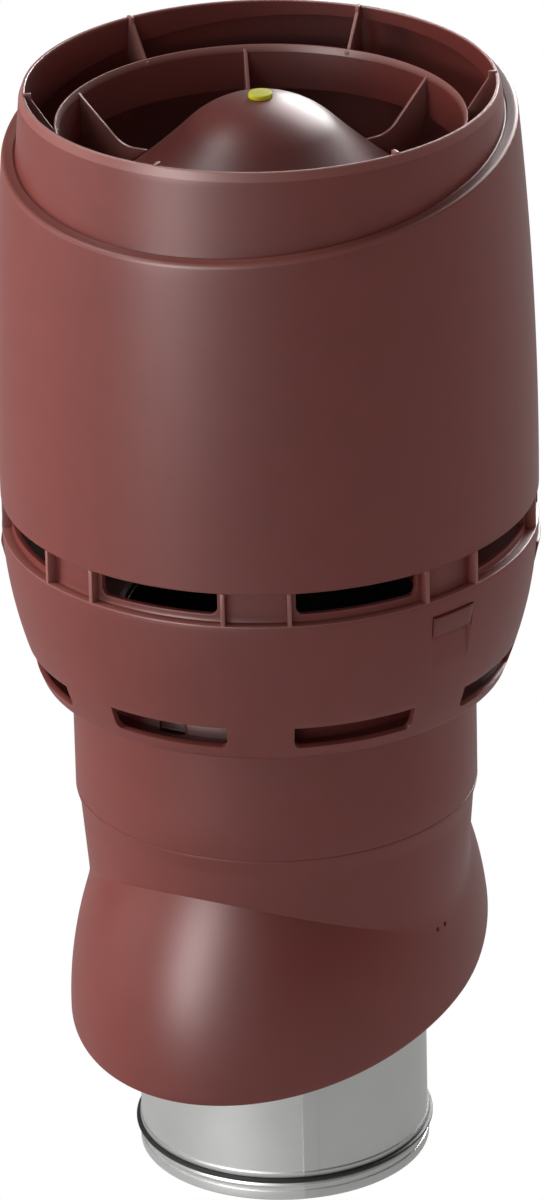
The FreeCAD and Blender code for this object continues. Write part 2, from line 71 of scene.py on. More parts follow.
class Slot(Enum):
    """Material slots of the record."""

    PLASTIC = "red_plastic"
    STEEL = "galvanised_steel"
    RUBBER = "seal_rubber"
    FOAM = "insulation_foam"
    YELLOW = "yellow_plastic"


# Shader node groups and finishes


def new_group(name: str, inputs: dict[str, float], outputs: Sequence[str]) -> bpy.types.NodeTree:
    """Make an empty shader group with number sockets.

    Args:
        name: Name of the group.
        inputs: Input names with their default values.
        outputs: Output names.

    Returns:
        The node tree, with its Group Input and Group Output nodes placed.
    """
    tree = bpy.data.node_groups.new(name, "ShaderNodeTree")
    for label, value in inputs.items():
        socket = tree.interface.new_socket(label, in_out="INPUT", socket_type="NodeSocketFloat")
        socket.default_value = value
    for label in outputs:
        tree.interface.new_socket(label, in_out="OUTPUT", socket_type="NodeSocketFloat")
    tree.nodes.new("NodeGroupInput")
    tree.nodes.new("NodeGroupOutput")
    return tree


def add_node(tree: bpy.types.NodeTree, kind: str, **values: object) -> bpy.types.Node:
    """Add a node and set its properties.

    Args:
        tree: Tree that takes the node.
        kind: Blender's name of the node type.
        values: Properties of the node.

    Returns:
        The new node.
    """
    node = tree.nodes.new(kind)
    for key, value in values.items():
        setattr(node, key, value)
    return node


def noise_at(tree: bpy.types.NodeTree, coordinate: bpy.types.NodeSocket,
             scale: bpy.types.NodeSocket | float, detail: float) -> bpy.types.NodeSocket:
    """Add a noise texture on Object coordinates.

    Args:
        tree: Tree that takes the node.
        coordinate: Socket with the coordinates.
        scale: Socket or number that sets the noise's scale.
        detail: Octaves of the noise.

    Returns:
        The noise's factor.
    """
    noise = add_node(tree, "ShaderNodeTexNoise")
    noise.inputs["Detail"].default_value = detail
    tree.links.new(coordinate, noise.inputs["Vector"])
    if isinstance(scale, float):
        noise.inputs["Scale"].default_value = scale
    else:
        tree.links.new(scale, noise.inputs["Scale"])
    return noise.outputs["Fac"]


def mixed(tree: bpy.types.NodeTree, factor: bpy.types.NodeSocket,
          first: bpy.types.NodeSocket | tuple[float, float, float], second: tuple[float, float, float],
          blend: str = "MIX") -> bpy.types.NodeSocket:
    """Add a colour mix.

    Args:
        tree: Tree that takes the node.
        factor: Socket that says how much of the second colour is mixed in.
        first: First colour, or the socket that gives it.
        second: Second colour.
        blend: Blender's name of the way that the colours mix.

    Returns:
        The mixed colour.
    """
    mix = add_node(tree, "ShaderNodeMix", data_type="RGBA", blend_type=blend)
    tree.links.new(factor, mix.inputs["Factor"])
    if isinstance(first, tuple):
        mix.inputs["A"].default_value = (*first, 1.0)
    else:
        tree.links.new(first, mix.inputs["A"])
    mix.inputs["B"].default_value = (*second, 1.0)
    return mix.outputs["Result"]


def mould_group() -> bpy.types.NodeTree:
    """Build the group for moulded skin: fine grain height, slow flow marks and a mottling mask.

    Returns:
        Group with inputs Grain and Flow (scales) and outputs Height, Mottle and Flow.
    """
    tree = new_group("moulded_skin", {"Grain": 900.0, "Flow": 9.0}, ("Height", "Mottle", "Flow"))
    source = tree.nodes["Group Input"]
    sink = tree.nodes["Group Output"]
    place = add_node(tree, "ShaderNodeTexCoord").outputs["Object"]
    noises = (("Height", source.outputs["Grain"], 3.0), ("Flow", source.outputs["Flow"], 2.0),
              ("Mottle", MOTTLE_SCALE, 4.0))
    for label, scale, detail in noises:
        tree.links.new(noise_at(tree, place, scale, detail), sink.inputs[label])
    return tree


@dataclass(frozen=True)
class Finish:
    """A surface finish: two tones, a pale tone for its painted edge highlight, gloss, the scale of its skin
    and the tone that its painted shade multiplies in.
    """

    name: str
    slot: Slot
    tone: tuple[float, float, float]
    tone_deep: tuple[float, float, float]
    # tone of the painted highlight on marked edges and rims; on the steel it is a little darker than the body
    edge: tuple[float, float, float]
    roughness: tuple[float, float]
    metallic: float = 0.0
    specular: float = 0.5
    grain: float = 900.0
    flow: float = 9.0
    bump: float = 0.00002
    # tone that the painted shade multiplies into the colour
    shade: float = 1.0

    def build(self, skin: bpy.types.NodeTree) -> bpy.types.Material:
        """Make the material.

        Args:
            skin: Shared group of moulded skin.

        Returns:
            A node material with colour, roughness and bump that vary over the surface.
        """
        material = bpy.data.materials.new(self.name)
        material.use_nodes = True
        tree = material.node_tree
        shader = tree.nodes["Principled BSDF"]
        shader.inputs["Metallic"].default_value = self.metallic
        shader.inputs["Specular IOR Level"].default_value = self.specular
        group = add_node(tree, "ShaderNodeGroup", node_tree=skin)
        group.inputs["Grain"].default_value = self.grain
        group.inputs["Flow"].default_value = self.flow
        # the edge attribute mixes in a painted highlight, the shade attribute multiplies in painted shade
        mark = add_node(tree, "ShaderNodeAttribute", attribute_name=EDGE_HIGHLIGHT_ATTRIBUTE)
        painted_shade_node = add_node(tree, "ShaderNodeAttribute", attribute_name=PAINTED_SHADE_ATTRIBUTE)
        body = mixed(tree, group.outputs["Mottle"], self.tone_deep, self.tone)
        pale = mixed(tree, mark.outputs["Fac"], body, self.edge)
        colour = mixed(tree, painted_shade_node.outputs["Fac"], pale, (self.shade, self.shade, self.shade), "MULTIPLY")
        tree.links.new(colour, shader.inputs["Base Color"])
        gloss = add_node(tree, "ShaderNodeMapRange")
        gloss.inputs["To Min"].default_value = self.roughness[0]
        gloss.inputs["To Max"].default_value = self.roughness[1]
        tree.links.new(group.outputs["Flow"], gloss.inputs["Value"])
        tree.links.new(gloss.outputs["Result"], shader.inputs["Roughness"])
        bump = add_node(tree, "ShaderNodeBump")
        bump.inputs["Distance"].default_value = self.bump
        tree.links.new(group.outputs["Height"], bump.inputs["Height"])
        tree.links.new(bump.outputs["Normal"], shader.inputs["Normal"])
        return material


BRICK = Finish("brick_red_moulding", Slot.PLASTIC, (0.178, 0.036, 0.029), (0.15, 0.030, 0.024),
               (0.36, 0.15, 0.13), (0.36, 0.46), grain=1100.0, shade=0.0)
YELLOW = Finish("yellow_plug", Slot.YELLOW, (0.62, 0.60, 0.006), (0.56, 0.54, 0.005),
                (0.7, 0.68, 0.05), (0.5, 0.6), specular=0.15)
ZINC = Finish("galvanised_sheet", Slot.STEEL, (0.84, 0.845, 0.82), (0.77, 0.775, 0.75),
              (0.75, 0.75, 0.74), (0.38, 0.46), metallic=0.9, grain=260.0, flow=30.0, bump=0.00001,
              shade=0.0)
RUBBER = Finish("black_seal_rubber", Slot.RUBBER, (0.018, 0.019, 0.02), (0.012, 0.012, 0.013),
                (0.04, 0.04, 0.042), (0.45, 0.6), specular=0.4)
FOAM = Finish("insulation_foam", Slot.FOAM, (0.62, 0.61, 0.57), (0.5, 0.49, 0.46),
              (0.7, 0.7, 0.66), (0.8, 0.95), specular=0.2, grain=420.0, bump=0.0003)


# Shapes shared by the pieces


def quadratic(share: np.ndarray, start: np.ndarray, control: np.ndarray, end: np.ndarray) -> np.ndarray:
    """Points of the curve (1 - s)^2 start + 2 s (1 - s) control + s^2 end at each share s."""
    return (1 - share) ** 2 * start + 2 * share * (1 - share) * control + share ** 2 * end


def rounded(corners: Sequence[tuple[float, float, float]], steps: int = 4) -> tuple[np.ndarray, np.ndarray]:
    """Run round closed corners with each corner rounded by its own radius.

    The arc at a corner starts and ends radius / tan(half the corner's angle) away from it, and its points
    lie on a quadratic curve between those two ends with the corner as its control point.

    Args:
        corners: (radius, height, rounding) of each corner.
        steps: Spans along each rounded corner.

    Returns:
        The (radius, height) points, and 1 for each point on a rounded corner and 0 elsewhere.
    """
    points: list[np.ndarray] = []
    marks: list[np.ndarray] = []
    spot = np.array([corner[:2] for corner in corners], float)
    share = np.linspace(0.0, 1.0, steps + 1)[:, None]
    for index, (_, _, radius) in enumerate(corners):
        here = spot[index]
        if radius <= 0.0:
            points.append(here[None, :])
            marks.append(np.zeros(1))
            continue
        back = spot[index - 1] - here
        ahead = spot[(index + 1) % len(spot)] - here
        back_length = np.linalg.norm(back)
        ahead_length = np.linalg.norm(ahead)
        cosine = np.clip(back @ ahead / (back_length * ahead_length), -1.0, 1.0)
        reach = radius / math.tan(math.acos(cosine) / 2)
        reach = min(reach, ROUNDING_SHARE * back_length, ROUNDING_SHARE * ahead_length)
        start = here + back / back_length * reach
        end = here + ahead / ahead_length * reach
        points.append(quadratic(share, start, here, end))
        marks.append(np.ones(steps + 1))
    return np.concatenate(points), np.concatenate(marks)


def arc_run(start: tuple[float, float], end: tuple[float, float], bulge: float,
            heights: np.ndarray) -> np.ndarray:
    """Radius at given heights on a circle that bows outwards from a chord by the bulge.

    The circle's radius is (c * c / 4 + b * b) / (2 b) for a chord c and bulge b, and its centre lies on the
    chord's middle normal.

    Args:
        start: (radius, height) of the chord's lower end.
        end: (radius, height) of its upper end.
        bulge: Largest distance of the arc from the chord.
        heights: Heights to read.

    Returns:
        The radius at each height.
    """
    run = end[0] - start[0]
    rise = end[1] - start[1]
    chord = math.hypot(run, rise)
    circle = (chord * chord / 4 + bulge * bulge) / (2 * bulge)
    inward = circle - bulge
    centre_r = (start[0] + end[0]) / 2 - inward * rise / chord
    centre_z = (start[1] + end[1]) / 2 + inward * run / chord
    return centre_r + np.sqrt(circle * circle - (heights - centre_z) ** 2)


def arc_points(centre: tuple[float, float], radius: float, leans: np.ndarray) -> np.ndarray:
    """Points at the centre plus radius times (sin, cos) of each lean."""
    return np.stack([centre[0] + radius * np.sin(leans), centre[1] + radius * np.cos(leans)], axis=-1)


def carried(radius: np.ndarray, height: np.ndarray, bearings: np.ndarray) -> np.ndarray:
    """Carry profiles round the axis.

    Args:
        radius: Radii, one row for each profile point and one column for each bearing.
        height: Heights of the same shape.
        bearings: Bearings of the columns in degrees.

    Returns:
        Points of shape (rows, columns, 3): (r sin a, -r cos a, z).
    """
    angle = np.radians(bearings)[None, :]
    return np.stack([radius * np.sin(angle), -radius * np.cos(angle), height + 0.0 * angle], axis=-1)


def turned(profile: np.ndarray, bearings: np.ndarray) -> np.ndarray:
    """Carry one (radius, height) profile round the axis at the given bearings."""
    wide = np.ones(len(bearings))[None, :]
    return carried(profile[:, :1] * wide, profile[:, 1:] * wide, bearings)


def full_circle(count: int) -> np.ndarray:
    """Evenly spaced bearings round the axis."""
    return np.arange(count) * 360.0 / count


def sheet_faces(rows: int, columns: int, wrap_rows: bool, wrap_columns: bool,
                keep: np.ndarray | None = None) -> np.ndarray:
    """Quads of a grid of points, facing away from the axis where rows rise and bearings grow.

    Args:
        rows: Rows of points.
        columns: Columns of points.
        wrap_rows: Whether the last row joins the first.
        wrap_columns: Whether the last column joins the first.
        keep: Mask of the quads to keep, or None for all.

    Returns:
        Vertex numbers, four for each quad.
    """
    row = np.arange(rows if wrap_rows else rows - 1)[:, None]
    column = np.arange(columns if wrap_columns else columns - 1)[None, :]
    above = (row + 1) % rows
    beside = (column + 1) % columns
    quads = np.stack([row * columns + column, row * columns + beside,
                      above * columns + beside, above * columns + column], axis=-1)
    if keep is not None:
        return quads[keep]
    return quads.reshape(-1, 4)


def make_mesh(name: str, points: np.ndarray, faces: Sequence[Sequence[int]],
              marks: np.ndarray | None = None) -> bpy.types.Object:
    """Put points and faces into a new object, with the painted edge highlight as a point attribute.

    Args:
        name: Name of the piece.
        points: Points in metres, in any grid shape with three last values.
        faces: Vertex numbers of each face.
        marks: Strength of the painted edge highlight at each point, from 0 to 1.

    Returns:
        The object, linked to the scene at the origin.
    """
    mesh = bpy.data.meshes.new(name)
    flat = points.reshape(-1, 3)
    mesh.from_pydata(flat.tolist(), [], [list(map(int, face)) for face in faces])
    piece = bpy.data.objects.new(name, mesh)
    add_marks(piece, EDGE_HIGHLIGHT_ATTRIBUTE, np.zeros(len(flat)) if marks is None else marks)
    mesh.validate()
    bpy.context.scene.collection.objects.link(piece)
    return piece


def add_marks(piece: bpy.types.Object, name: str, values: np.ndarray) -> None:
    """Write one number for each point of a piece into a named attribute."""
    layer = piece.data.attributes.new(name, "FLOAT", "POINT")
    layer.data.foreach_set("value", np.asarray(values, np.float32).reshape(-1))


def outwards(piece: bpy.types.Object) -> None:
    """Turn the faces of a closed mesh outwards, after merging points that coincide."""
    work = bmesh.new()
    work.from_mesh(piece.data)
    bmesh.ops.remove_doubles(work, verts=work.verts, dist=MERGE_DISTANCE)
    bmesh.ops.recalc_face_normals(work, faces=work.faces)
    work.to_mesh(piece.data)
    work.free()


def drop_loose(piece: bpy.types.Object) -> None:
    """Delete the points that no face uses."""
    work = bmesh.new()
    work.from_mesh(piece.data)
    loose = [vert for vert in work.verts if not vert.link_faces]
    bmesh.ops.delete(work, geom=loose, context="VERTS")
    work.to_mesh(piece.data)
    work.free()


def smooth(piece: bpy.types.Object, degrees: float = 32.0) -> None:
    """Shade a piece smooth, with edges sharper than the angle kept."""
    mesh = piece.data
    mesh.polygons.foreach_set("use_smooth", np.ones(len(mesh.polygons), bool))
    mesh.set_sharp_from_angle(angle=math.radians(degrees))


def apply_modifiers(piece: bpy.types.Object) -> None:
    """Replace a piece's mesh by the result of its modifiers."""
    graph = bpy.context.evaluated_depsgraph_get()
    result = bpy.data.meshes.new_from_object(piece.evaluated_get(graph))
    piece.modifiers.clear()
    old = piece.data
    piece.data = result
    bpy.data.meshes.remove(old)
    piece.data.name = piece.name


def thicken(piece: bpy.types.Object, wall: float) -> None:
    """Give an open sheet its wall on the inner side, with rims closed."""
    wall_step = piece.modifiers.new("wall", "SOLIDIFY")
    wall_step.thickness = wall
    wall_step.offset = -1.0
    wall_step.use_even_offset = True
    wall_step.use_rim = True
    apply_modifiers(piece)


def soften(piece: bpy.types.Object, width: float, degrees: float = 50.0, segments: int = 2) -> None:
    """Round the sharp edges of a piece by a small width."""
    edge = piece.modifiers.new("edges", "BEVEL")
    edge.width = width
    edge.segments = segments
    edge.limit_method = "ANGLE"
    edge.angle_limit = math.radians(degrees)
    edge.harden_normals = False
    apply_modifiers(piece)


def carve(piece: bpy.types.Object, cutters: Sequence[bpy.types.Object]) -> None:
    """Cut solids out of a piece and remove them.

    Args:
        piece: Closed piece to cut.
        cutters: Closed solids, deleted afterwards.
    """
    for cutter in cutters:
        step = piece.modifiers.new("cut", "BOOLEAN")
        step.operation = "DIFFERENCE"
        step.solver = "EXACT"
        step.object = cutter
    bpy.context.view_layer.update()
    apply_modifiers(piece)
    for cutter in cutters:
        bpy.data.objects.remove(cutter, do_unlink=True)


def ring_solid(name: str, profile: np.ndarray, marks: np.ndarray, columns: int) -> bpy.types.Object:
    """Closed solid of a closed profile carried right round the axis.

    Args:
        name: Name of the piece.
        profile: (radius, height) points.
        marks: Strength of the painted edge highlight at each point.
        columns: Columns round the axis.

    Returns:
        The piece, smooth shaded.
    """
    points = turned(profile, full_circle(columns))
    faces = sheet_faces(len(profile), columns, True, True)
    piece = make_mesh(name, points, faces, np.repeat(marks, columns))
    outwards(piece)
    smooth(piece)
    return piece


def plates(name: str, outline: np.ndarray, thickness: float, bearings: np.ndarray,
           edge: float = 0.35 * MM, marks: np.ndarray | None = None) -> bpy.types.Object:
    """Flat plates with one outline, standing along the given bearings.

    The outline is drawn in (radius, height); each plate is that outline at plus and minus half the thickness
    across the bearing, closed by its rim.

    Args:
        name: Name of the piece.
        outline: Closed run of (radius, height) points.
        thickness: Thickness across the bearing.
        bearings: Bearing of each plate in degrees.
        edge: Width of the rounded edges.
        marks: Strength of the painted edge highlight at each outline point.

    Returns:
        The piece that holds all the plates.
    """
    count = len(outline)
    angle = np.radians(bearings)[:, None, None]
    side = np.array([-0.5, 0.5])[None, :, None] * thickness
    radius = outline[None, None, :, 0]
    x = radius * np.sin(angle) + side * np.cos(angle)
    y = -radius * np.cos(angle) + side * np.sin(angle)
    z = np.broadcast_to(outline[None, None, :, 1], x.shape)
    points = np.stack([x, y, z], axis=-1)
    faces: list[list[int]] = []
    ring = np.arange(count)
    following = (ring + 1) % count
    for plate in range(len(bearings)):
        low = plate * 2 * count
        high = low + count
        faces.append(list(low + ring[::-1]))
        faces.append(list(high + ring))
        rim = np.stack([low + ring, low + following, high + following, high + ring], axis=-1)
        faces.extend(rim.tolist())
    every = None if marks is None else np.tile(marks, 2 * len(bearings))
    piece = make_mesh(name, points, faces, every)
    outwards(piece)
    soften(piece, edge)
    smooth(piece, degrees=40.0)
    return piece


@dataclass
class Rings:
    """Rings of points round the axis, stacked up into the surface of a piece."""

    columns: int
    radii: list[np.ndarray] = field(default_factory=list)
    heights: list[np.ndarray] = field(default_factory=list)
    marks: list[float] = field(default_factory=list)

    def add(self, radius: np.ndarray | float, height: np.ndarray | float,
            mark: np.ndarray | float = 0.0) -> None:
        """Add one ring or more.

        Args:
            radius: One number, one value for each column, or a row of values for each ring.
            height: Heights in one of the same forms.
            mark: Strength of the painted edge highlight on these rings, one number or one for each ring.
        """
        radius, height = np.broadcast_arrays(np.atleast_2d(radius), np.atleast_2d(height))
        shape = (len(radius), self.columns)
        self.radii.extend(np.broadcast_to(radius, shape))
        self.heights.extend(np.broadcast_to(height, shape))
        self.marks.extend(np.broadcast_to(mark, len(radius)))

    def climb(self, low: np.ndarray | float, high: np.ndarray | float, steps: int,
              radius_of: Callable[[np.ndarray], np.ndarray]) -> None:
        """Add rings at even steps above a height, the last one at the height where the climb ends.

        Args:
            low: Height below the first ring, one number or one for each column.
            high: Height of the last ring.
            steps: How many rings are added.
            radius_of: Radius at given heights.
        """
        share = np.linspace(0.0, 1.0, steps + 1)[1:, None]
        height = np.broadcast_to(low + (high - low) * share, (steps, self.columns))
        self.add(radius_of(height), height)

    def build(self, name: str, bearings: np.ndarray, closed: bool,
              keep: np.ndarray | None = None) -> bpy.types.Object:
        """Join the rings into a piece.

        Args:
            name: Name of the piece.
            bearings: Bearings of the columns in degrees.
            closed: Whether the last ring joins the first.
            keep: Mask of the quads to keep, or None for all.

        Returns:
            The piece, without smooth shading.
        """
        points = carried(np.array(self.radii), np.array(self.heights), bearings)
        faces = sheet_faces(len(self.radii), self.columns, closed, True, keep)
        return make_mesh(name, points, faces, np.repeat(self.marks, self.columns))


def dress(piece: bpy.types.Object, finish: Finish, materials: dict[str, bpy.types.Material],
          *nodes: str) -> None:
    """Give a piece its finish and its body, and hide the frame nodes that it replaces.

    Args:
        piece: The finished piece.
        finish: Its finish.
        materials: Materials by finish name.
        nodes: Frame nodes that the piece replaces.
    """
    piece.data.materials.clear()
    piece.data.materials.append(materials[finish.name])
    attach(piece, BODY)
    if nodes:
        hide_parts(*nodes)
    LOG.info("%s: %d faces in %s", piece.name, len(piece.data.polygons), finish.name)


# Sub-assemblies


@dataclass
class Hood:
    """Barrel jacket with a slanted rounded shoulder, a ledge and a collar."""

    radius: float = HOOD_RADIUS
    foot_z: float = HOOD_FOOT_Z
    foot_edge: float = 0.6 * MM
    rim_z: float = RIM_Z
    rim_edge: float = 0.35 * MM
    wall: float = 3.0 * MM
    taper: float = 10.3 * MM
    bulge: float = 3.1 * MM
    shoulder_drop: float = 24.2 * MM
    shoulder_slope: float = math.radians(9.3)
    shoulder_round: float = 2.4 * MM
    ledge: float = 6.7 * MM
    groove: float = 0.7 * MM
    collar_taper: float = COLLAR_TAPER
    chamfer: float = 1.8 * MM
    chamfer_height: float = 4.6 * MM
    chamfer_edge: float = 0.3 * MM
    chamfer_shares: tuple[float, ...] = (0.04, 0.12, 0.5, 0.86)
    groove_shares: tuple[tuple[float, float], ...] = ((1.0, 1.0), (0.1, 0.6))
    # strengths of the painted highlight on the foot, the shoulder's edge, the ledge, the chamfer and the rim
    foot_highlight: float = 0.5
    shoulder_highlight: float = 0.18
    ledge_highlight: float = 0.3
    chamfer_highlight: float = 0.35
    rim_highlight: float = 0.7
    barrel_rows: int = 26
    edge_rows: int = 9
    collar_rows: int = 14
    bore_rows: int = 12
    crest_tries: int = 20
    foot_tries: int = 8
    columns: int = 288

    def barrel(self, heights: np.ndarray, inset: float) -> np.ndarray:
        """Radius of the barrel at the given heights, drawn in by an inset."""
        foot = (self.radius - inset, self.foot_z)
        top = (self.radius - self.taper - inset, self.rim_z)
        return arc_run(foot, top, self.bulge, heights)

    def collar(self, heights: np.ndarray | float, inset: float) -> np.ndarray | float:
        """Radius of the collar's cone at the given heights, drawn in by an inset."""
        base = self.radius - self.taper - self.ledge - inset
        chamfer_z = self.rim_z - self.chamfer_height
        return base + (chamfer_z - heights) * math.tan(self.collar_taper)

    def shoulder(self, bearings: np.ndarray, inset: float, radius: np.ndarray) -> np.ndarray:
        """Height of the slanted shoulder plane at a radius on each bearing."""
        drop = self.shoulder_drop + inset / math.cos(self.shoulder_slope)
        y = -radius * np.cos(np.radians(bearings))
        return self.rim_z - drop + y * math.tan(self.shoulder_slope)

    def crest(self, bearings: np.ndarray, inset: float) -> tuple[np.ndarray, np.ndarray]:
        """Radius and height where the barrel meets the shoulder plane, found by repeated substitution."""
        height = np.full(len(bearings), self.rim_z - self.shoulder_drop)
        for _ in range(self.crest_tries):
            radius = self.barrel(height, inset)
            height = self.shoulder(bearings, inset, radius)
        return radius, height

    def side(self, bearings: np.ndarray, inset: float,
             rounding: float) -> tuple[tuple[np.ndarray, np.ndarray], ...]:
        """Run up one side of the wall, from the barrel's foot over the shoulder to the collar's foot.

        The shoulder's edge is a quadratic curve from the barrel to the shoulder plane, with the crest where
        they meet as its control point. The collar's foot is found by repeated substitution.

        Args:
            bearings: Bearings of the columns in degrees.
            inset: How far the side is drawn in.
            rounding: How far the edge's curve reaches on both sides of the crest.

        Returns:
            The (radius, height) arrays of the barrel, of the shoulder's edge and of the collar's foot.
        """
        crest_r, crest_z = self.crest(bearings, inset)
        start_z = crest_z - rounding
        low = self.foot_z + self.foot_edge
        barrel_z = low + (start_z - low) * np.linspace(0.0, 1.0, self.barrel_rows)[:, None]
        share = np.linspace(0.0, 1.0, self.edge_rows)[1:, None]
        end_r = crest_r - rounding
        end_z = self.shoulder(bearings, inset, end_r)
        edge_r = quadratic(share, self.barrel(start_z, inset), crest_r, end_r)
        edge_z = quadratic(share, start_z, crest_z, end_z)
        foot_r = self.collar(end_z, inset)
        for _ in range(self.foot_tries):
            foot_z = self.shoulder(bearings, inset, foot_r)
            foot_r = self.collar(foot_z, inset)
        return (self.barrel(barrel_z, inset), barrel_z), (edge_r, edge_z), (foot_r, foot_z)

    def build(self) -> bpy.types.Object:
        """Build the shell as one closed surface.

        At each bearing the profile runs up the barrel, over the rounded shoulder, across the ledge and its
        groove, up the collar, over the chamfered rim and down the same steps inside, drawn in by the wall.

        Returns:
            The jacket without its tongues.
        """
        bearings = full_circle(self.columns)
        barrel, edge, (foot_r, foot_z) = self.side(bearings, 0.0, self.shoulder_round)
        rings = Rings(self.columns)
        # painted highlight on the foot, the shoulder's edge, the ledge, the chamfer and the rim, full on the
        # rim's top
        rings.add(self.radius - self.foot_edge, self.foot_z, self.foot_highlight)
        rings.add(*barrel)
        rings.add(*edge, self.shoulder_highlight)
        ledge_r = foot_r + 2.0 * self.groove
        rings.add(ledge_r, self.shoulder(bearings, 0.0, ledge_r), self.ledge_highlight)
        for out, down in self.groove_shares:
            rings.add(foot_r + out * self.groove, foot_z - down * self.groove)
        chamfer_z = self.rim_z - self.chamfer_height
        collar_foot = foot_z + self.groove
        collar_rise = chamfer_z - self.chamfer_edge - collar_foot
        collar_z = collar_foot + collar_rise * np.linspace(0.0, 1.0, self.collar_rows)[:, None]
        rings.add(self.collar(collar_z, 0.0), collar_z)
        rim_r = self.collar(chamfer_z, 0.0) - self.chamfer
        for share in self.chamfer_shares:
            level = chamfer_z + share * self.chamfer_height
            rings.add(rim_r + self.chamfer * (1.0 - share), level, self.chamfer_highlight)
        bore_r = self.collar(self.rim_z, self.wall)
        bore_top = self.rim_z - self.rim_edge
        rings.add(rim_r + 0.6 * self.rim_edge, bore_top, self.rim_highlight)
        rings.add(rim_r - 0.5 * self.rim_edge, self.rim_z, 1.0)
        rings.add(bore_r + self.rim_edge, self.rim_z, 1.0)
        rings.add(bore_r, bore_top, self.rim_highlight)
        barrel, edge, (_, foot_z) = self.side(bearings, self.wall, self.shoulder_round - self.wall / 2)
        bore_z = bore_top + (foot_z - bore_top) * np.linspace(0.0, 1.0, self.bore_rows)[1:, None]
        rings.add(self.collar(bore_z, self.wall), bore_z)
        for radius, height in (edge, barrel):
            rings.add(radius[::-1], height[::-1])
        rings.add(self.radius - self.wall + self.foot_edge, self.foot_z, self.foot_highlight)
        piece = rings.build("hood_shell", bearings, closed=True)
        outwards(piece)
        smooth(piece, degrees=38.0)
        return piece


@dataclass
class SnapTongues:
    """Noses of the jacket's four snap tongues, each on a stem inside the bowl's band."""

    width: float = 11.0
    stem_bore: float = 130.8 * MM
    stem_radius: float = 133.2 * MM
    nose_foot_z: float = 348.9 * MM
    nose_top_z: float = 360.4 * MM
    nose_round: float = 0.7 * MM
    proud: float = 1.4 * MM
    bridge_z: float = 399.0 * MM
    bridge_top_z: float = 402.0 * MM
    root: float = 139.6 * MM
    edge: float = 0.4 * MM
    # share of painted shade over the tongues
    nose_painted_shade: float = 0.12
    columns: int = 9

    def build(self, bowl_radius: Callable[[np.ndarray], np.ndarray]) -> bpy.types.Object:
        """Build the four tongues: one profile carried over the tongue's width at each bearing.

        Args:
            bowl_radius: Outer radius of the bowl at given heights.

        Returns:
            The piece that holds all four.
        """
        low, high = bowl_radius(np.array([self.nose_foot_z, self.nose_top_z]))
        profile, _ = rounded((
            (self.stem_bore, self.nose_foot_z, 0.0), (low, self.nose_foot_z, self.nose_round),
            (high + self.proud, self.nose_top_z, self.nose_round), (self.stem_radius, self.nose_top_z, 0.0),
            (self.stem_radius, self.bridge_z, 0.0), (self.root, self.bridge_z, 0.0),
            (self.root, self.bridge_top_z, 0.0), (self.stem_bore, self.bridge_top_z, 0.0)))
        starts = np.arange(len(profile)) * self.columns
        spread = np.linspace(-0.5, 0.5, self.columns) * self.width
        blocks: list[np.ndarray] = []
        faces: list[list[int]] = []
        for index, bearing in enumerate(TONGUE_BEARINGS):
            base = index * len(profile) * self.columns
            blocks.append(turned(profile, spread + bearing).reshape(-1, 3))
            faces.extend((sheet_faces(len(profile), self.columns, True, False) + base).tolist())
            faces.append(list(base + starts))
            faces.append(list(base + starts[::-1] + self.columns - 1))
        piece = make_mesh("snap_tongues", np.concatenate(blocks), faces)
        # painted shade darkens each tongue a little
        add_marks(piece, PAINTED_SHADE_ATTRIBUTE, np.full(len(piece.data.vertices), self.nose_painted_shade))
        outwards(piece)
        soften(piece, self.edge)
        smooth(piece, degrees=40.0)
        return piece


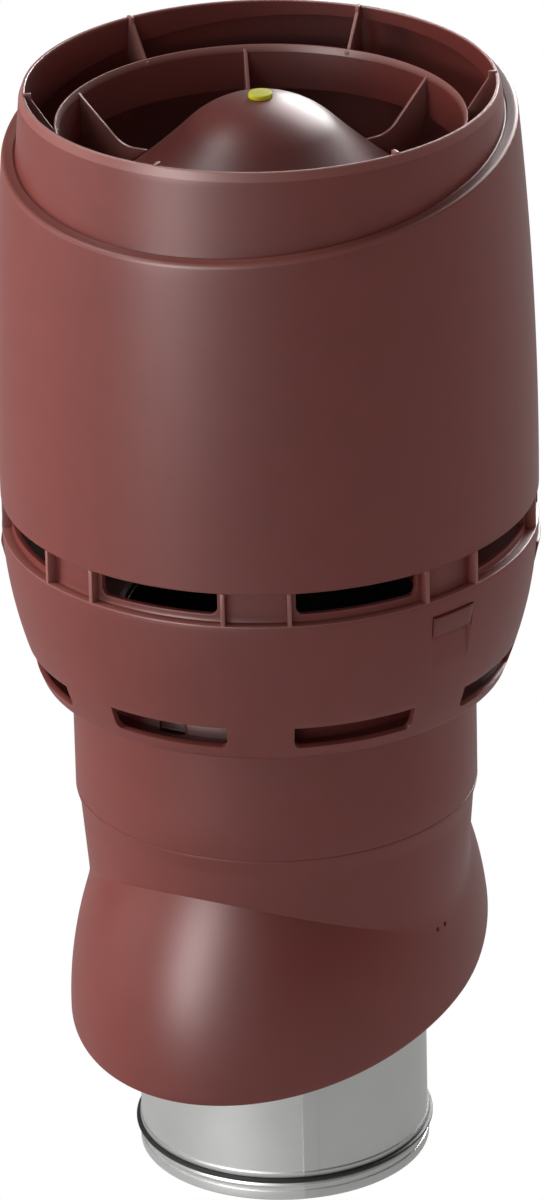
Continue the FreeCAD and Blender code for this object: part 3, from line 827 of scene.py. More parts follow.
@dataclass
class DripBowl:
    """Slotted bowl: floor, bowed side with drain slots and tongue pockets, ledge and band with air slots."""

    floor_z: float = SEAT_Z
    floor_radius: float = 123.6 * MM
    floor_round: float = 1.2 * MM
    floor_rows: int = 5
    bend_shares: tuple[float, ...] = (0.35, 0.7, 1.0)
    bore: float = 108.0 * MM
    radius: float = HOOD_RADIUS
    lip_z: float = 370.4 * MM
    lip_round: float = 0.8 * MM
    lip_highlight: float = 0.5
    bulge: float = 3.8 * MM
    wall: float = 3.0 * MM
    band_radius: float = 136.5 * MM
    band_top_z: float = 396.0 * MM
    band_fillet: float = 1.0 * MM
    fillet_shares: tuple[tuple[float, float], ...] = ((1.0, 0.0), (0.3, 0.3), (0.0, 1.0))
    slots: int = 8
    drain_half: float = 14.7
    drain_low: float = 293.4 * MM
    drain_high: float = 306.9 * MM
    drain_rows: int = 3
    air_half: float = 14.0
    air_low: float = 374.4 * MM
    air_high: float = 392.0 * MM
    air_rows: int = 3
    corner: float = 4.0 * MM
    pocket_half: float = 5.82
    pocket_low: float = 348.1 * MM
    pocket_high: float = 361.2 * MM
    pocket_rows: int = 4
    ramp_half: float = 5.5
    ramp_side: float = 0.12
    ramp_low: float = 330.5 * MM
    ramp_depth: float = 1.9 * MM
    rib_bearing: float = 15.5
    rib_thick: float = 2.2 * MM
    rib_top_z: float = HOOD_FOOT_Z
    rib_guide: float = 138.7 * MM
    rib_guide_z: float = 394.5 * MM
    rib_back: float = 0.3 * MM
    rib_edge: float = 0.3 * MM
    rib_round: float = 0.4 * MM
    rib_face: float = 0.6 * MM
    rib_highlight: float = 0.45
    lug_width: float = 15.2 * MM
    # share of painted shade on the lugs in the neck's windows
    lug_painted_shade: float = 0.4
    lug_tip: float = 104.5 * MM
    lug_stop: float = 1.6 * MM
    lug_top_z: float = 294.1 * MM
    lug_root: float = 2.5 * MM
    column_step: float = 1.5
    column_gap: float = 0.02
    corner_columns: int = 6
    edge: float = 0.35 * MM

    def side_radius(self, heights: np.ndarray) -> np.ndarray:
        """Outer radius of the bowed side at the given heights."""
        return arc_run((self.floor_radius, self.floor_z), (self.radius, self.lip_z), self.bulge, heights)

    def columns(self) -> np.ndarray:
        """Bearings of the grid, closer together at slot corners, slot ends and pocket sides."""
        pitch = 360.0 / self.slots
        bend = 1.0 - np.cos(np.linspace(0.0, math.pi / 2, self.corner_columns))
        wanted = [np.arange(-pitch / 2, pitch / 2, self.column_step)]
        for half, radius in ((self.drain_half, self.drain_radius()), (self.air_half, self.band_radius)):
            reach = math.degrees(self.corner / radius)
            wanted += [half - reach * bend, reach * bend - half]
        for half in (self.pocket_half, self.ramp_half, self.ramp_half + self.ramp_side):
            wanted.append(np.array([pitch / 2 - half, half - pitch / 2]))
        sector = np.unique(np.round(np.concatenate(wanted), 3))
        gaps = np.diff(sector, append=sector[0] + pitch)
        sector = sector[gaps > self.column_gap]
        return np.concatenate([sector + pitch * step for step in range(self.slots)])

    def drain_radius(self) -> float:
        """Outer radius at the drain slots' lower edge."""
        return float(self.side_radius(np.array([self.drain_low]))[0])

    def slot_edge(self, offset: np.ndarray, half: float, radius: float) -> np.ndarray:
        """Rise of a slot's lower edge above its lowest line, from the rounded corner.

        With d the distance from the slot's end, the rise is c - sqrt(c * c - (c - d) ** 2) up to d = c, and
        the whole corner radius c outside the slot.

        Args:
            offset: Angle of each column from the slot's middle.
            half: Half the slot's angle.
            radius: Radius of the wall.

        Returns:
            The rise at each column.
        """
        distance = np.clip(np.radians(half - np.abs(offset)) * radius, 0.0, self.corner)
        return self.corner - np.sqrt(self.corner ** 2 - (self.corner - distance) ** 2)

    def band(self, heights: np.ndarray) -> np.ndarray:
        """Outer radius of the band, which is the same at all heights."""
        return np.full(heights.shape, self.band_radius)

    def ramped_side(self, pocket_offset: np.ndarray, heights: np.ndarray) -> np.ndarray:
        """Outer radius of the side with the ramps that sink evenly towards the pockets' lower edges.

        Args:
            pocket_offset: Angle of each column from the nearest pocket's middle.
            heights: Heights, one row for each ring.

        Returns:
            The radius at each height.
        """
        past_ramp = heights > self.pocket_low + MERGE_DISTANCE
        lean = np.clip((heights - self.ramp_low) / (self.pocket_low - self.ramp_low), 0.0, 1.0)
        on_ramp = (pocket_offset <= self.ramp_half + self.column_gap / 2) & ~past_ramp
        return self.side_radius(heights) - np.where(on_ramp, lean * self.ramp_depth, 0.0)

    def build(self) -> bpy.types.Object:
        """Build the wall as an open outer sheet with the openings left out, then give it thickness.

        Returns:
            The bowl without ribs and lugs.
        """
        bearings = self.columns()
        count = len(bearings)
        pitch = 360.0 / self.slots
        offset = (bearings + pitch / 2) % pitch - pitch / 2
        turn = (bearings[:, None] - np.array(TONGUE_BEARINGS)[None, :] + 180.0) % 360.0 - 180.0
        pocket_offset = np.abs(turn).min(axis=1)
        drain_line = self.drain_low + self.slot_edge(offset, self.drain_half, self.drain_radius())
        air_line = self.air_low + self.slot_edge(offset, self.air_half, self.band_radius)
        side = partial(self.ramped_side, pocket_offset)
        rings = Rings(count)
        floor = np.linspace(self.bore, self.floor_radius - self.floor_round, self.floor_rows)[:, None]
        rings.add(floor, self.floor_z)
        share = np.array(self.bend_shares)[:, None]
        bend_z = self.floor_z + self.floor_round * share * share
        rings.add(self.side_radius(bend_z) - self.floor_round * (1.0 - share) ** 2, bend_z)
        rings.climb(self.floor_z + self.floor_round, drain_line, 5, side)
        drain_row = len(rings.radii) - 1
        rings.climb(drain_line, self.drain_high, self.drain_rows, side)
        rings.climb(self.drain_high, self.ramp_low, 6, side)
        rings.climb(self.ramp_low, self.pocket_low, 6, side)
        pocket_row = len(rings.radii) - 1
        rings.climb(self.pocket_low, self.pocket_high, self.pocket_rows, side)
        rings.climb(self.pocket_high, self.lip_z - self.lip_round, 3, side)
        corner = 0.25 * self.lip_round
        # painted highlight along the lip
        rings.add(self.radius - corner, self.lip_z - corner, self.lip_highlight)
        rings.add(self.radius - self.lip_round, self.lip_z, self.lip_highlight)
        fillet = self.band_fillet
        for out, up in self.fillet_shares:
            rings.add(self.band_radius + out * fillet, self.lip_z + up * fillet)
        rings.climb(self.lip_z + fillet, air_line, 3, self.band)
        air_row = len(rings.radii) - 1
        rings.climb(air_line, self.air_high, self.air_rows, self.band)
        rings.climb(self.air_high, self.band_top_z, 2, self.band)
        following = np.roll(offset, -1)
        middle = np.abs(offset + following) / 2
        straight = np.abs(offset - following) < pitch / 2
        pocket_middle = (pocket_offset + np.roll(pocket_offset, -1)) / 2
        keep = np.ones((len(rings.radii) - 1, count), bool)
        openings = ((drain_row, self.drain_rows, straight & (middle < self.drain_half)),
                    (air_row, self.air_rows, straight & (middle < self.air_half)),
                    (pocket_row, self.pocket_rows, pocket_middle < self.pocket_half))
        for first, rows, inside in openings:
            keep[first:first + rows, inside] = False
        piece = rings.build("drip_bowl_shell", bearings, closed=False, keep=keep)
        drop_loose(piece)
        thicken(piece, self.wall)
        soften(piece, self.edge, degrees=55.0)
        smooth(piece, degrees=35.0)
        return piece

    def build_ribs(self) -> bpy.types.Object:
        """Build the ribs that carry the jacket, two beside each air slot.

        Returns:
            The piece that holds all the ribs.
        """
        inside = self.band_radius - self.wall / 2
        outside = self.radius - self.rib_back
        outline, _ = rounded((
            (inside, self.lip_z - self.wall / 2, 0.0), (outside, self.lip_z - self.wall / 2, 0.0),
            (outside, self.rib_top_z, self.rib_round), (self.rib_guide, self.rib_top_z, 0.0),
            (self.rib_guide, self.rib_guide_z, 0.0), (inside, self.rib_guide_z, 0.0)), 2)
        centres = full_circle(self.slots)[:, None] + np.array([-self.rib_bearing, self.rib_bearing])[None, :]
        # painted highlight on the ribs' outer faces
        painted_highlight = np.where(outline[:, 0] > outside - self.rib_face, self.rib_highlight, 0.0)
        return plates("hood_ribs", outline, self.rib_thick, centres.reshape(-1), self.rib_edge, painted_highlight)

    def build_lugs(self) -> bpy.types.Object:
        """Build the three lugs that lock the bowl into the neck's windows.

        Returns:
            The piece that holds the lugs.
        """
        outer = self.bore + self.lug_root
        stop = self.lug_tip + self.lug_stop
        outline = np.array([(self.lug_tip, self.floor_z), (outer, self.floor_z),
                            (outer, self.floor_z + self.wall), (stop, self.floor_z + self.wall),
                            (stop, self.lug_top_z), (self.lug_tip, self.lug_top_z)])
        piece = plates("lock_lugs", outline, self.lug_width, np.array(LOCK_BEARINGS))
        # painted shade darkens the lugs where they fill the neck's windows
        add_marks(piece, PAINTED_SHADE_ATTRIBUTE, np.full(len(piece.data.vertices), self.lug_painted_shade))
        return piece


@dataclass
class NeckPipe:
    """Pipe with a conical body, a straight neck and a bulged skirt cut along the roof slope."""

    axis_z: float = 104.1 * MM
    half_width: float = 107.8 * MM
    half_depth: float = 136.0 * MM
    half_height: float = 150.0 * MM
    lean: float = 0.091
    hem_z: float = 108.4 * MM
    hem_slope: float = 0.168
    hem_back_z: float = 166.5 * MM
    neck_radius: float = 107.7 * MM
    neck_step: float = 2.2 * MM
    step_share: float = 0.12
    step_below: float = 0.9 * MM
    step_above: float = 0.4 * MM
    cone_top_z: float = 209.4 * MM
    neck_start_z: float = 217.0 * MM
    neck_top_z: float = 310.0 * MM
    line_z: float = 218.6 * MM
    line: float = 0.28 * MM
    line_shares: tuple[float, float, float] = (0.3, 1.4, 1.7)
    neck_rows: tuple[float, ...] = (20.0 * MM, 45.0 * MM)
    taper: float = math.radians(4.75)
    wall: float = 3.5 * MM
    seat_reach: float = 2.8 * MM
    seat_low: float = 280.2 * MM
    seat_mid: float = 283.0 * MM
    seat_top: float = SEAT_Z
    seat_edge: float = 0.05 * MM
    lock_width: float = 15.5 * MM
    lock_height: float = 8.0 * MM
    lock_round: float = 2.0 * MM
    hole: float = 2.7 * MM
    hole_spacing: float = 7.3 * MM
    hole_forward: float = 13.2 * MM
    hole_z: float = 151.8 * MM
    hole_from: float = 85.0 * MM
    hole_to: float = 125.0 * MM
    hole_sides: int = 16
    sharp_to: float = 50.0
    soft_from: float = 85.0
    flank_round: float = 2.5 * MM
    edge: float = 0.4 * MM
    skirt_rows: int = 34
    cone_rows: int = 16
    cone_bias: float = 1.3
    crease_tries: int = 40
    hem_tries: int = 60
    columns: int = 288

    def bulge(self, bearings: np.ndarray, heights: np.ndarray) -> np.ndarray:
        """Radius of the ellipsoid that leans with the roof, along each bearing at the given heights.

        The lean moves a point at y up by lean * y, so the radius r solves a r^2 + 2 b r + c = 0.

        Args:
            bearings: Bearings of the columns in degrees.
            heights: Heights, for each bearing or for rows of them.

        Returns:
            The radius at each height, nothing above the ellipsoid's top.
        """
        angle = np.radians(bearings)
        tilt = self.lean * np.cos(angle) / self.half_height
        rise = (heights - self.axis_z) / self.half_height
        a = (np.sin(angle) / self.half_width) ** 2 + (np.cos(angle) / self.half_depth) ** 2 + tilt ** 2
        b = rise * tilt
        c = rise ** 2 - 1.0
        return np.maximum((np.sqrt(np.maximum(b * b - a * c, 0.0)) - b) / a, 0.0)

    def cone(self, heights: np.ndarray) -> np.ndarray:
        """Radius of the pipe's cone at the given heights."""
        return self.neck_radius - self.neck_step - (self.cone_top_z - heights) * math.tan(self.taper)

    def crease(self, bearings: np.ndarray) -> np.ndarray:
        """Height where the skirt's bulge meets the cone on each bearing, found by halving."""
        low = np.full(len(bearings), self.axis_z)
        high = np.full(len(bearings), self.cone_top_z)
        for _ in range(self.crease_tries):
            middle = (low + high) / 2
            bulged = self.bulge(bearings, middle) > self.cone(middle)
            low = np.where(bulged, middle, low)
            high = np.where(bulged, high, middle)
        return (low + high) / 2

    def hem(self, bearings: np.ndarray) -> np.ndarray:
        """Height of the skirt's edge on each bearing: straight in front, and curving up to the back."""
        height = np.full(len(bearings), self.hem_z)
        depth = self.half_depth
        curve = (self.hem_back_z - self.hem_z - depth * self.hem_slope) / depth ** 2
        for _ in range(self.hem_tries):
            y = -self.bulge(bearings, height) * np.cos(np.radians(bearings))
            target = self.hem_z + y * self.hem_slope + curve * np.maximum(y, 0.0) ** 2
            height = 0.5 * height + 0.5 * target
        return height

    def blended(self, bearings: np.ndarray, heights: np.ndarray) -> np.ndarray:
        """Radius of skirt and cone together, with a crease that is sharp in front and rounded at the flanks.

        The larger of the two radii a and b is raised by (sqrt((a - b)^2 + k^2) - |a - b|) / 2, where k grows
        from nothing in front to the flank's rounding.

        Args:
            bearings: Bearings of the columns in degrees.
            heights: Heights, one row for each ring of points.

        Returns:
            The radius at each height.
        """
        turn = np.abs((bearings + 180.0) % 360.0 - 180.0)
        share = np.clip((turn - self.sharp_to) / (self.soft_from - self.sharp_to), 0.0, 1.0)
        span = self.flank_round * share * share * (3.0 - 2.0 * share)
        bulge = self.bulge(bearings, heights)
        cone = self.cone(heights)
        gap = bulge - cone
        raised = np.sqrt(gap * gap + span * span) - np.abs(gap)
        return np.maximum(bulge, cone) + raised / 2

    def build(self) -> bpy.types.Object:
        """Build the outer sheet from the hem up to the neck's top, give it its wall and cut its holes.

        Returns:
            The pipe.
        """
        bearings = full_circle(self.columns)
        hem = self.hem(bearings)
        crease = self.crease(bearings)
        rise = np.linspace(0.0, 1.0, self.skirt_rows)[:, None]
        skirt_z = hem + (crease - hem) * np.sin(rise * math.pi / 2)
        cone_share = np.linspace(0.0, 1.0, self.cone_rows)[1:, None] ** self.cone_bias
        cone_z = crease + (self.cone_top_z - crease) * cone_share
        body_z = np.concatenate([skirt_z, cone_z])
        neck, start = self.neck_radius, self.neck_start_z
        seat = neck + self.seat_reach
        grooved = neck - self.line
        into, across, out = (self.line_z + share * self.line for share in self.line_shares)
        upper = np.array([
            (neck - self.step_share * self.neck_step, start - self.step_below),
            (neck, start + self.step_above), (neck, self.line_z), (grooved, into), (grooved, across),
            (neck, out), *[(neck, start + above) for above in self.neck_rows], (neck, self.seat_low),
            (seat, self.seat_mid), (seat, self.seat_top), (neck, self.seat_top + self.seat_edge),
            (neck, self.neck_top_z)])
        rings = Rings(self.columns)
        rings.add(self.blended(bearings, body_z), body_z)
        rings.add(upper[:, :1], upper[:, 1:])
        piece = rings.build("skirted_pipe", bearings, closed=False)
        thicken(piece, self.wall)
        carve(piece, self.cutters())
        soften(piece, self.edge, degrees=60.0)
        smooth(piece, degrees=30.0)
        return piece

    def cutters(self) -> list[bpy.types.Object]:
        """Solids that cut the lock windows and the flank screw holes.

        Returns:
            The cutters, one object for each window and each line of holes.
        """
        near = self.neck_radius - 3 * self.wall
        far = self.neck_radius + 3 * self.wall
        top = self.seat_top + self.lock_height
        half, soft = self.lock_width / 2, self.lock_round
        face, _ = rounded(((-half, self.seat_top, soft), (half, self.seat_top, soft),
                           (half, top, soft), (-half, top, soft)))
        right, ahead, up = np.eye(3)
        made: list[bpy.types.Object] = []
        for bearing in np.radians(LOCK_BEARINGS):
            radial = math.sin(bearing) * right - math.cos(bearing) * ahead
            across = math.cos(bearing) * right + math.sin(bearing) * ahead
            flat = face[:, :1] * across + face[:, 1:] * up
            made.append(self.prism("window", flat, radial * near, radial * far))
        turn = np.linspace(0.0, 2 * math.pi, self.hole_sides, endpoint=False)[:, None]
        ring = self.hole / 2 * (np.cos(turn) * ahead + np.sin(turn) * up)
        for step in (-0.5, 0.5):
            y = -(self.hole_forward + step * self.hole_spacing)
            circle = ring + y * ahead + self.hole_z * up
            for outward in (-right, right):
                made.append(self.prism("hole", circle, outward * self.hole_from, outward * self.hole_to))
        return made

    @staticmethod
    def prism(name: str, face: np.ndarray, start: np.ndarray, end: np.ndarray) -> bpy.types.Object:
        """Closed prism of a flat face carried from start to end.

        Args:
            name: Name of the object.
            face: Points of the face about the origin.
            start: Shift of the first end.
            end: Shift of the last end.

        Returns:
            The prism.
        """
        count = len(face)
        points = np.concatenate([face + start, face + end])
        ring = np.arange(count)
        following = (ring + 1) % count
        faces = np.stack([ring, following, following + count, ring + count], axis=-1).tolist()
        faces += [list(ring[::-1]), list(ring + count)]
        piece = make_mesh(name, points, faces)
        outwards(piece)
        return piece


@dataclass
class SteelDuct:
    """Galvanised duct with a lap seam and a rolled end, and the lip seal in its seat."""

    radius: float = 78.2 * MM
    wall: float = 0.8 * MM
    top_z: float = 317.0 * MM
    seam_bearing: float = 36.0
    seam_width: float = 8.0 * MM
    seam_rise: float = 0.5 * MM
    seam_edge: float = 0.08
    seam_clear: float = 0.2
    # painted shade on the side away from the key light, from the seam round to the back
    far_side_painted_shade: float = 0.14
    painted_shade_span: float = 150.0
    # painted shade, nearly black, on the bore and the top edge
    bore_painted_shade: float = 0.9
    edge_mark: float = 0.35
    hem: float = 78.9 * MM
    bead: float = 79.6 * MM
    band_top: float = 5.2 * MM
    bead_foot: float = 6.8 * MM
    seat_foot: float = 10.5 * MM
    seat_top: float = 13.6 * MM
    back_top: float = 16.2 * MM
    edge_round: float = 0.3 * MM
    bead_round: float = 1.2 * MM
    bead_side: float = 0.2 * MM
    bead_rise: float = 0.5 * MM
    bead_fall: float = 0.4 * MM
    end_chamfer: float = 0.2 * MM
    end_rise: float = 0.6 * MM
    back_slope: float = 0.7 * MM
    wall_rows: tuple[float, ...] = (100.0 * MM, 200.0 * MM)
    bore_row: float = 160.0 * MM
    skin: float = 0.1 * MM
    seal_tip: float = 81.0 * MM
    seal_gap: float = 0.3 * MM
    tip_foot: float = 12.05 * MM
    tip_top: float = 13.0 * MM
    seal_top: float = 13.3 * MM
    seal_round: float = 0.4 * MM
    seal_highlight: float = 0.3
    columns: int = 240

    def build(self) -> bpy.types.Object:
        """Build the tube; the seam is a low step of the radius over its width.

        Returns:
            The duct.
        """
        bore = self.radius - self.wall
        fine = self.edge_round
        middle = (self.bead_foot + self.seat_foot) / 2
        beside_bead = self.hem + self.bead_side
        profile, marks = rounded((
            (bore, 0.0, 0.0), (self.hem - self.end_chamfer, 0.0, 0.0), (self.hem, self.end_rise, fine),
            (self.hem, self.band_top, fine), (self.radius, self.band_top + fine, 0.0),
            (self.radius, self.bead_foot, 0.0), (beside_bead, self.bead_foot + self.bead_rise, fine),
            (self.bead, middle, self.bead_round), (beside_bead, self.seat_foot - self.bead_fall, fine),
            (self.hem, self.seat_foot, 0.0), (self.radius, self.seat_foot, 0.0),
            (self.radius, self.seat_top, 0.0), (self.hem, self.seat_top, fine),
            (self.hem, self.back_top, fine), (self.radius, self.back_top + self.back_slope, 0.0),
            *[(self.radius, level, 0.0) for level in (*self.wall_rows, self.top_z)],
            (bore, self.top_z, 0.0), (bore, self.bore_row, 0.0)), 3)
        radius, height = profile[:, :1], profile[:, 1:]
        seam = self.seam_bearing
        half = math.degrees(self.seam_width / self.radius) / 2
        beside = half + self.seam_edge
        bearings = full_circle(self.columns)
        clear = bearings[np.abs(bearings - seam) > half + self.seam_clear]
        bearings = np.sort(np.concatenate([clear, seam + np.array([-beside, -half, 0.0, half, beside])]))
        raised = np.abs(bearings - seam) <= half + self.seam_edge / 2
        inside = radius <= bore + self.skin
        lapped = raised & (height > self.back_top) & ~inside
        rings = Rings(len(bearings))
        # edge attribute on the rounded bends; on the steel its tone is a little darker than the body
        rings.add(radius + np.where(lapped, self.seam_rise, 0.0), height, marks * self.edge_mark)
        piece = rings.build("duct_sheet", bearings, closed=True)
        # painted shade on the side away from the key light, from the seam round to the back
        past_seam = (bearings >= seam - half) & (bearings < seam + self.painted_shade_span)
        # painted shade, nearly black, on the bore and the top edge
        hidden = inside | (height > self.top_z - self.skin)
        shade = np.where(hidden, self.bore_painted_shade, np.where(past_seam, self.far_side_painted_shade, 0.0))
        add_marks(piece, PAINTED_SHADE_ATTRIBUTE, shade)
        outwards(piece)
        smooth(piece, degrees=30.0)
        return piece

    def build_seal(self) -> bpy.types.Object:
        """Build the rubber ring with its leaning lip.

        Returns:
            The seal.
        """
        inner = self.radius + self.seal_gap
        soft = self.seal_round
        profile, marks = rounded((
            (inner, self.seat_foot, 0.0), (self.bead, self.seat_foot, soft),
            (self.seal_tip, self.tip_foot, soft), (self.seal_tip, self.tip_top, soft),
            (self.bead, self.seal_top, self.edge_round), (inner, self.seal_top, 0.0)), 4)
        # painted highlight on the seal's rounded edges
        return ring_solid("lip_seal", profile, marks * self.seal_highlight, self.columns)


@dataclass
class GuideInsert:
    """Guide ring with its outer and inner vanes, the deflector bell and the peak plug."""

    rim_z: float = RIM_Z
    ring_top: float = 594.7 * MM
    ring_height: float = 24.0 * MM
    ring_radius: float = 107.0 * MM
    ring_wall: float = 2.5 * MM
    flare: float = 1.0 * MM
    chamfer: float = 1.6 * MM
    chamfer_height: float = 3.5 * MM
    chamfer_round: float = 0.5 * MM
    ring_columns: int = 240
    collar_bore: float = 121.6 * MM
    collar_taper: float = COLLAR_TAPER
    rim_radius: float = 123.2 * MM
    vane_thick: float = 2.0 * MM
    vanes: int = 6
    bell_radius: float = 91.0 * MM
    bell_top: float = 606.85 * MM
    bell_rim: float = 549.2 * MM
    bell_round: float = 56.8 * MM
    bell_steep: float = math.radians(44.6)
    bell_spread: float = math.radians(36.3)
    bell_flat: float = 0.35 * MM
    saddle_drop: float = 27.7 * MM
    saddle_round: float = 20.0 * MM
    vane_fall: float = math.radians(46.0)
    bell_wall: float = 2.5 * MM
    flare_rows: int = 20
    dome_rows: int = 26
    bell_columns: int = 192
    plug_radius: float = 6.3 * MM
    plug_thick: float = 2.4 * MM
    fit: float = 0.3 * MM
    edge: float = 0.3 * MM
    vane_highlight: float = 0.7
    plug_highlight: float = 0.4
    plug_stem: float = 2.8 * MM
    plug_depth: float = 9.0 * MM
    plug_round: float = 0.7 * MM
    stem_round: float = 0.6 * MM
    plug_columns: int = 64
    peak_bore: float = 3.1 * MM
    vane_foot: float = 20.0 * MM
    vane_drop: float = 1.0 * MM
    vane_lift: float = 1.0 * MM
    inner_drop: float = 0.6 * MM
    highlight_depth: float = 1.0 * MM
    highlight_skin: float = 0.1 * MM
    tab_rise: float = 0.9 * MM
    tab_reach: float = 3.0 * MM
    tab_drop: float = 2.6 * MM
    tab_round: float = 0.4 * MM
    tab_fillet: float = 0.8 * MM
    toe_reach: float = 5.0 * MM
    toe_drop: float = 3.5 * MM

    def build_ring(self) -> bpy.types.Object:
        """Build the flared ring with its chamfered top.

        Returns:
            The ring.
        """
        foot = self.ring_top - self.ring_height
        inner = self.ring_radius - self.ring_wall
        profile, marks = rounded((
            (self.ring_radius - self.flare - self.ring_wall, foot, self.edge),
            (self.ring_radius - self.flare, foot, self.edge), (self.ring_radius, self.ring_top, self.edge),
            (inner + self.chamfer, self.ring_top, self.edge),
            (inner, self.ring_top - self.chamfer_height, self.chamfer_round)), 3)
        # painted highlight on the rounded corners of the ring's top
        high = profile[:, 1] > self.ring_top - self.highlight_depth
        return ring_solid("guide_ring_wall", profile, marks * high, self.ring_columns)

    def bell_profile(self, inset: float) -> np.ndarray:
        """Run of the bell's surface from its rim up to its peak, drawn in by an inset.

        The dome's circle and the flare's circle touch where the slope is steepest. The flare's radius is
        (R - r sin a) / (sin a - sin b) for a rim of radius R, a dome of radius r, the steepest slope a and
        the slope b at the rim.

        Args:
            inset: How far the surface is drawn in.

        Returns:
            The (radius, height) points.
        """
        steep, spread = self.bell_steep, self.bell_spread
        reach = self.bell_radius - self.bell_round * math.sin(steep)
        flare = reach / (math.sin(steep) - math.sin(spread))
        dome_z = self.bell_top - self.bell_round
        centre_r = (self.bell_round + flare) * math.sin(steep)
        centre_z = dome_z + (self.bell_round + flare) * math.cos(steep)
        foot = math.acos((centre_z - self.bell_rim) / (flare + inset))
        lower = arc_points((centre_r, centre_z), -flare - inset, np.linspace(foot, steep, self.flare_rows))
        leans = np.linspace(steep, 0.0, self.dome_rows)[1:]
        upper = arc_points((0.0, dome_z), self.bell_round - inset, leans)
        run = np.concatenate([lower, upper])
        run[:, 1] = np.minimum(run[:, 1], self.bell_top - self.bell_flat)
        return run[run[:, 0] > self.peak_bore]

    def build_bell(self) -> bpy.types.Object:
        """Build the bell as one closed wall with a hole at its peak.

        Returns:
            The bell.
        """
        profile = np.concatenate([self.bell_profile(0.0), self.bell_profile(self.bell_wall)[::-1]])
        return ring_solid("bell_wall", profile, np.zeros(len(profile)), self.bell_columns)

    def build_plug(self) -> bpy.types.Object:
        """Build the plug: a flat rounded disc on a stem.

        Returns:
            The plug.
        """
        foot = self.bell_top - self.bell_flat
        top = foot + self.plug_thick
        stem, tip = self.plug_stem, foot - self.plug_depth
        profile, marks = rounded((
            (0.0, tip, 0.0), (stem, tip, self.stem_round), (stem, foot, 0.0),
            (self.plug_radius, foot, self.edge), (self.plug_radius, top, self.plug_round),
            (0.0, top, 0.0)), 4)
        # painted highlight on the plug's rounded edges
        return ring_solid("plug_disc", profile, marks * self.plug_highlight, self.plug_columns)

    def build_outer_vanes(self) -> bpy.types.Object:
        """Build the vanes between the ring and the collar, each with a tab over the rim.

        Returns:
            The piece that holds the outer vanes.
        """
        inside = self.ring_radius - self.flare - self.ring_wall / 2
        wall = self.collar_bore - self.fit
        foot = self.ring_top - self.vane_foot
        spread = (self.rim_z - foot) * math.tan(self.collar_taper)
        tab = self.rim_radius - self.fit
        tab_inner = wall - self.tab_reach
        top = self.rim_z + self.tab_rise
        ring_z = self.ring_top - self.vane_drop
        outline, _ = rounded((
            (inside, foot, 0.0), (wall + spread, foot, 0.0), (wall, self.rim_z, 0.0), (tab, self.rim_z, 0.0),
            (tab, top, self.edge), (tab_inner, top, self.tab_round),
            (tab_inner, self.rim_z - self.tab_drop, self.tab_fillet), (self.ring_radius, ring_z, 0.0),
            (inside, ring_z, 0.0)), 3)
        # painted highlight along the tops of the outer vanes
        painted_highlight = np.where(outline[:, 1] > ring_z - self.highlight_depth, self.vane_highlight, 0.0)
        return plates("outer_vanes", outline, self.vane_thick, full_circle(self.vanes), self.edge, painted_highlight)

    def build_inner_vanes(self) -> bpy.types.Object:
        """Build the vanes that fall from the ring to a level saddle on the bell, with a foot under its rim.

        Returns:
            The piece that holds the inner vanes.
        """
        inside = self.ring_radius - self.ring_wall / 4
        high = self.ring_top - self.inner_drop
        foot = self.ring_top - self.ring_height + self.vane_lift
        saddle_z = self.ring_top - self.saddle_drop
        corner = inside - (high - saddle_z) / math.tan(self.vane_fall)
        low = self.bell_rim - self.toe_drop
        toe = self.bell_radius - self.toe_reach
        heel = self.bell_radius + self.toe_reach
        wall = self.ring_radius - self.flare - self.ring_wall - self.fit
        surface = self.bell_profile(-self.fit)
        touch = np.interp(saddle_z, surface[:, 1], surface[:, 0])
        outline, _ = rounded((
            (inside, foot, 0.0), (inside, high, 0.0), (corner, saddle_z, self.saddle_round),
            (touch, saddle_z, 0.0), (surface[0, 0], self.bell_rim, 0.0), (toe, self.bell_rim, 0.0),
            (toe, low, 0.0), (heel, low, 0.0), (wall, foot, 0.0)), 10)
        # painted highlight on the inner vanes at and above the saddle
        painted_highlight = np.where(outline[:, 1] > saddle_z - self.highlight_skin, self.vane_highlight, 0.0)
        bearings = full_circle(self.vanes) + 180.0 / self.vanes
        return plates("inner_vanes", outline, self.vane_thick, bearings, self.edge, painted_highlight)


# Studio


@dataclass(frozen=True)
class SoftBox:
    """A rectangular soft light that looks at the object's middle."""

    name: str
    place: tuple[float, float, float]
    size: tuple[float, float]
    power: float
    diffuse: bool = True
    glossy: bool = True

    def build(self, target: Vector) -> None:
        """Make the light and turn it to the target."""
        lamp = bpy.data.lights.new(self.name, "AREA")
        lamp.shape = "RECTANGLE"
        lamp.size, lamp.size_y = self.size
        lamp.energy = self.power
        holder = bpy.data.objects.new(self.name, lamp)
        holder.location = self.place
        away = Vector(self.place) - target
        holder.rotation_euler = away.to_track_quat("Z", "Y").to_euler()
        holder.visible_camera = False
        holder.visible_diffuse = self.diffuse
        holder.visible_glossy = self.glossy
        bpy.context.scene.collection.objects.link(holder)


def beside_camera(bearing: float, distance: float, height: float) -> tuple[float, float, float]:
    """Place at a bearing from the camera's own side, positive to the picture's right."""
    angle = math.radians(bearing + Studio.azimuth)
    return (distance * math.sin(angle), -distance * math.cos(angle), height)


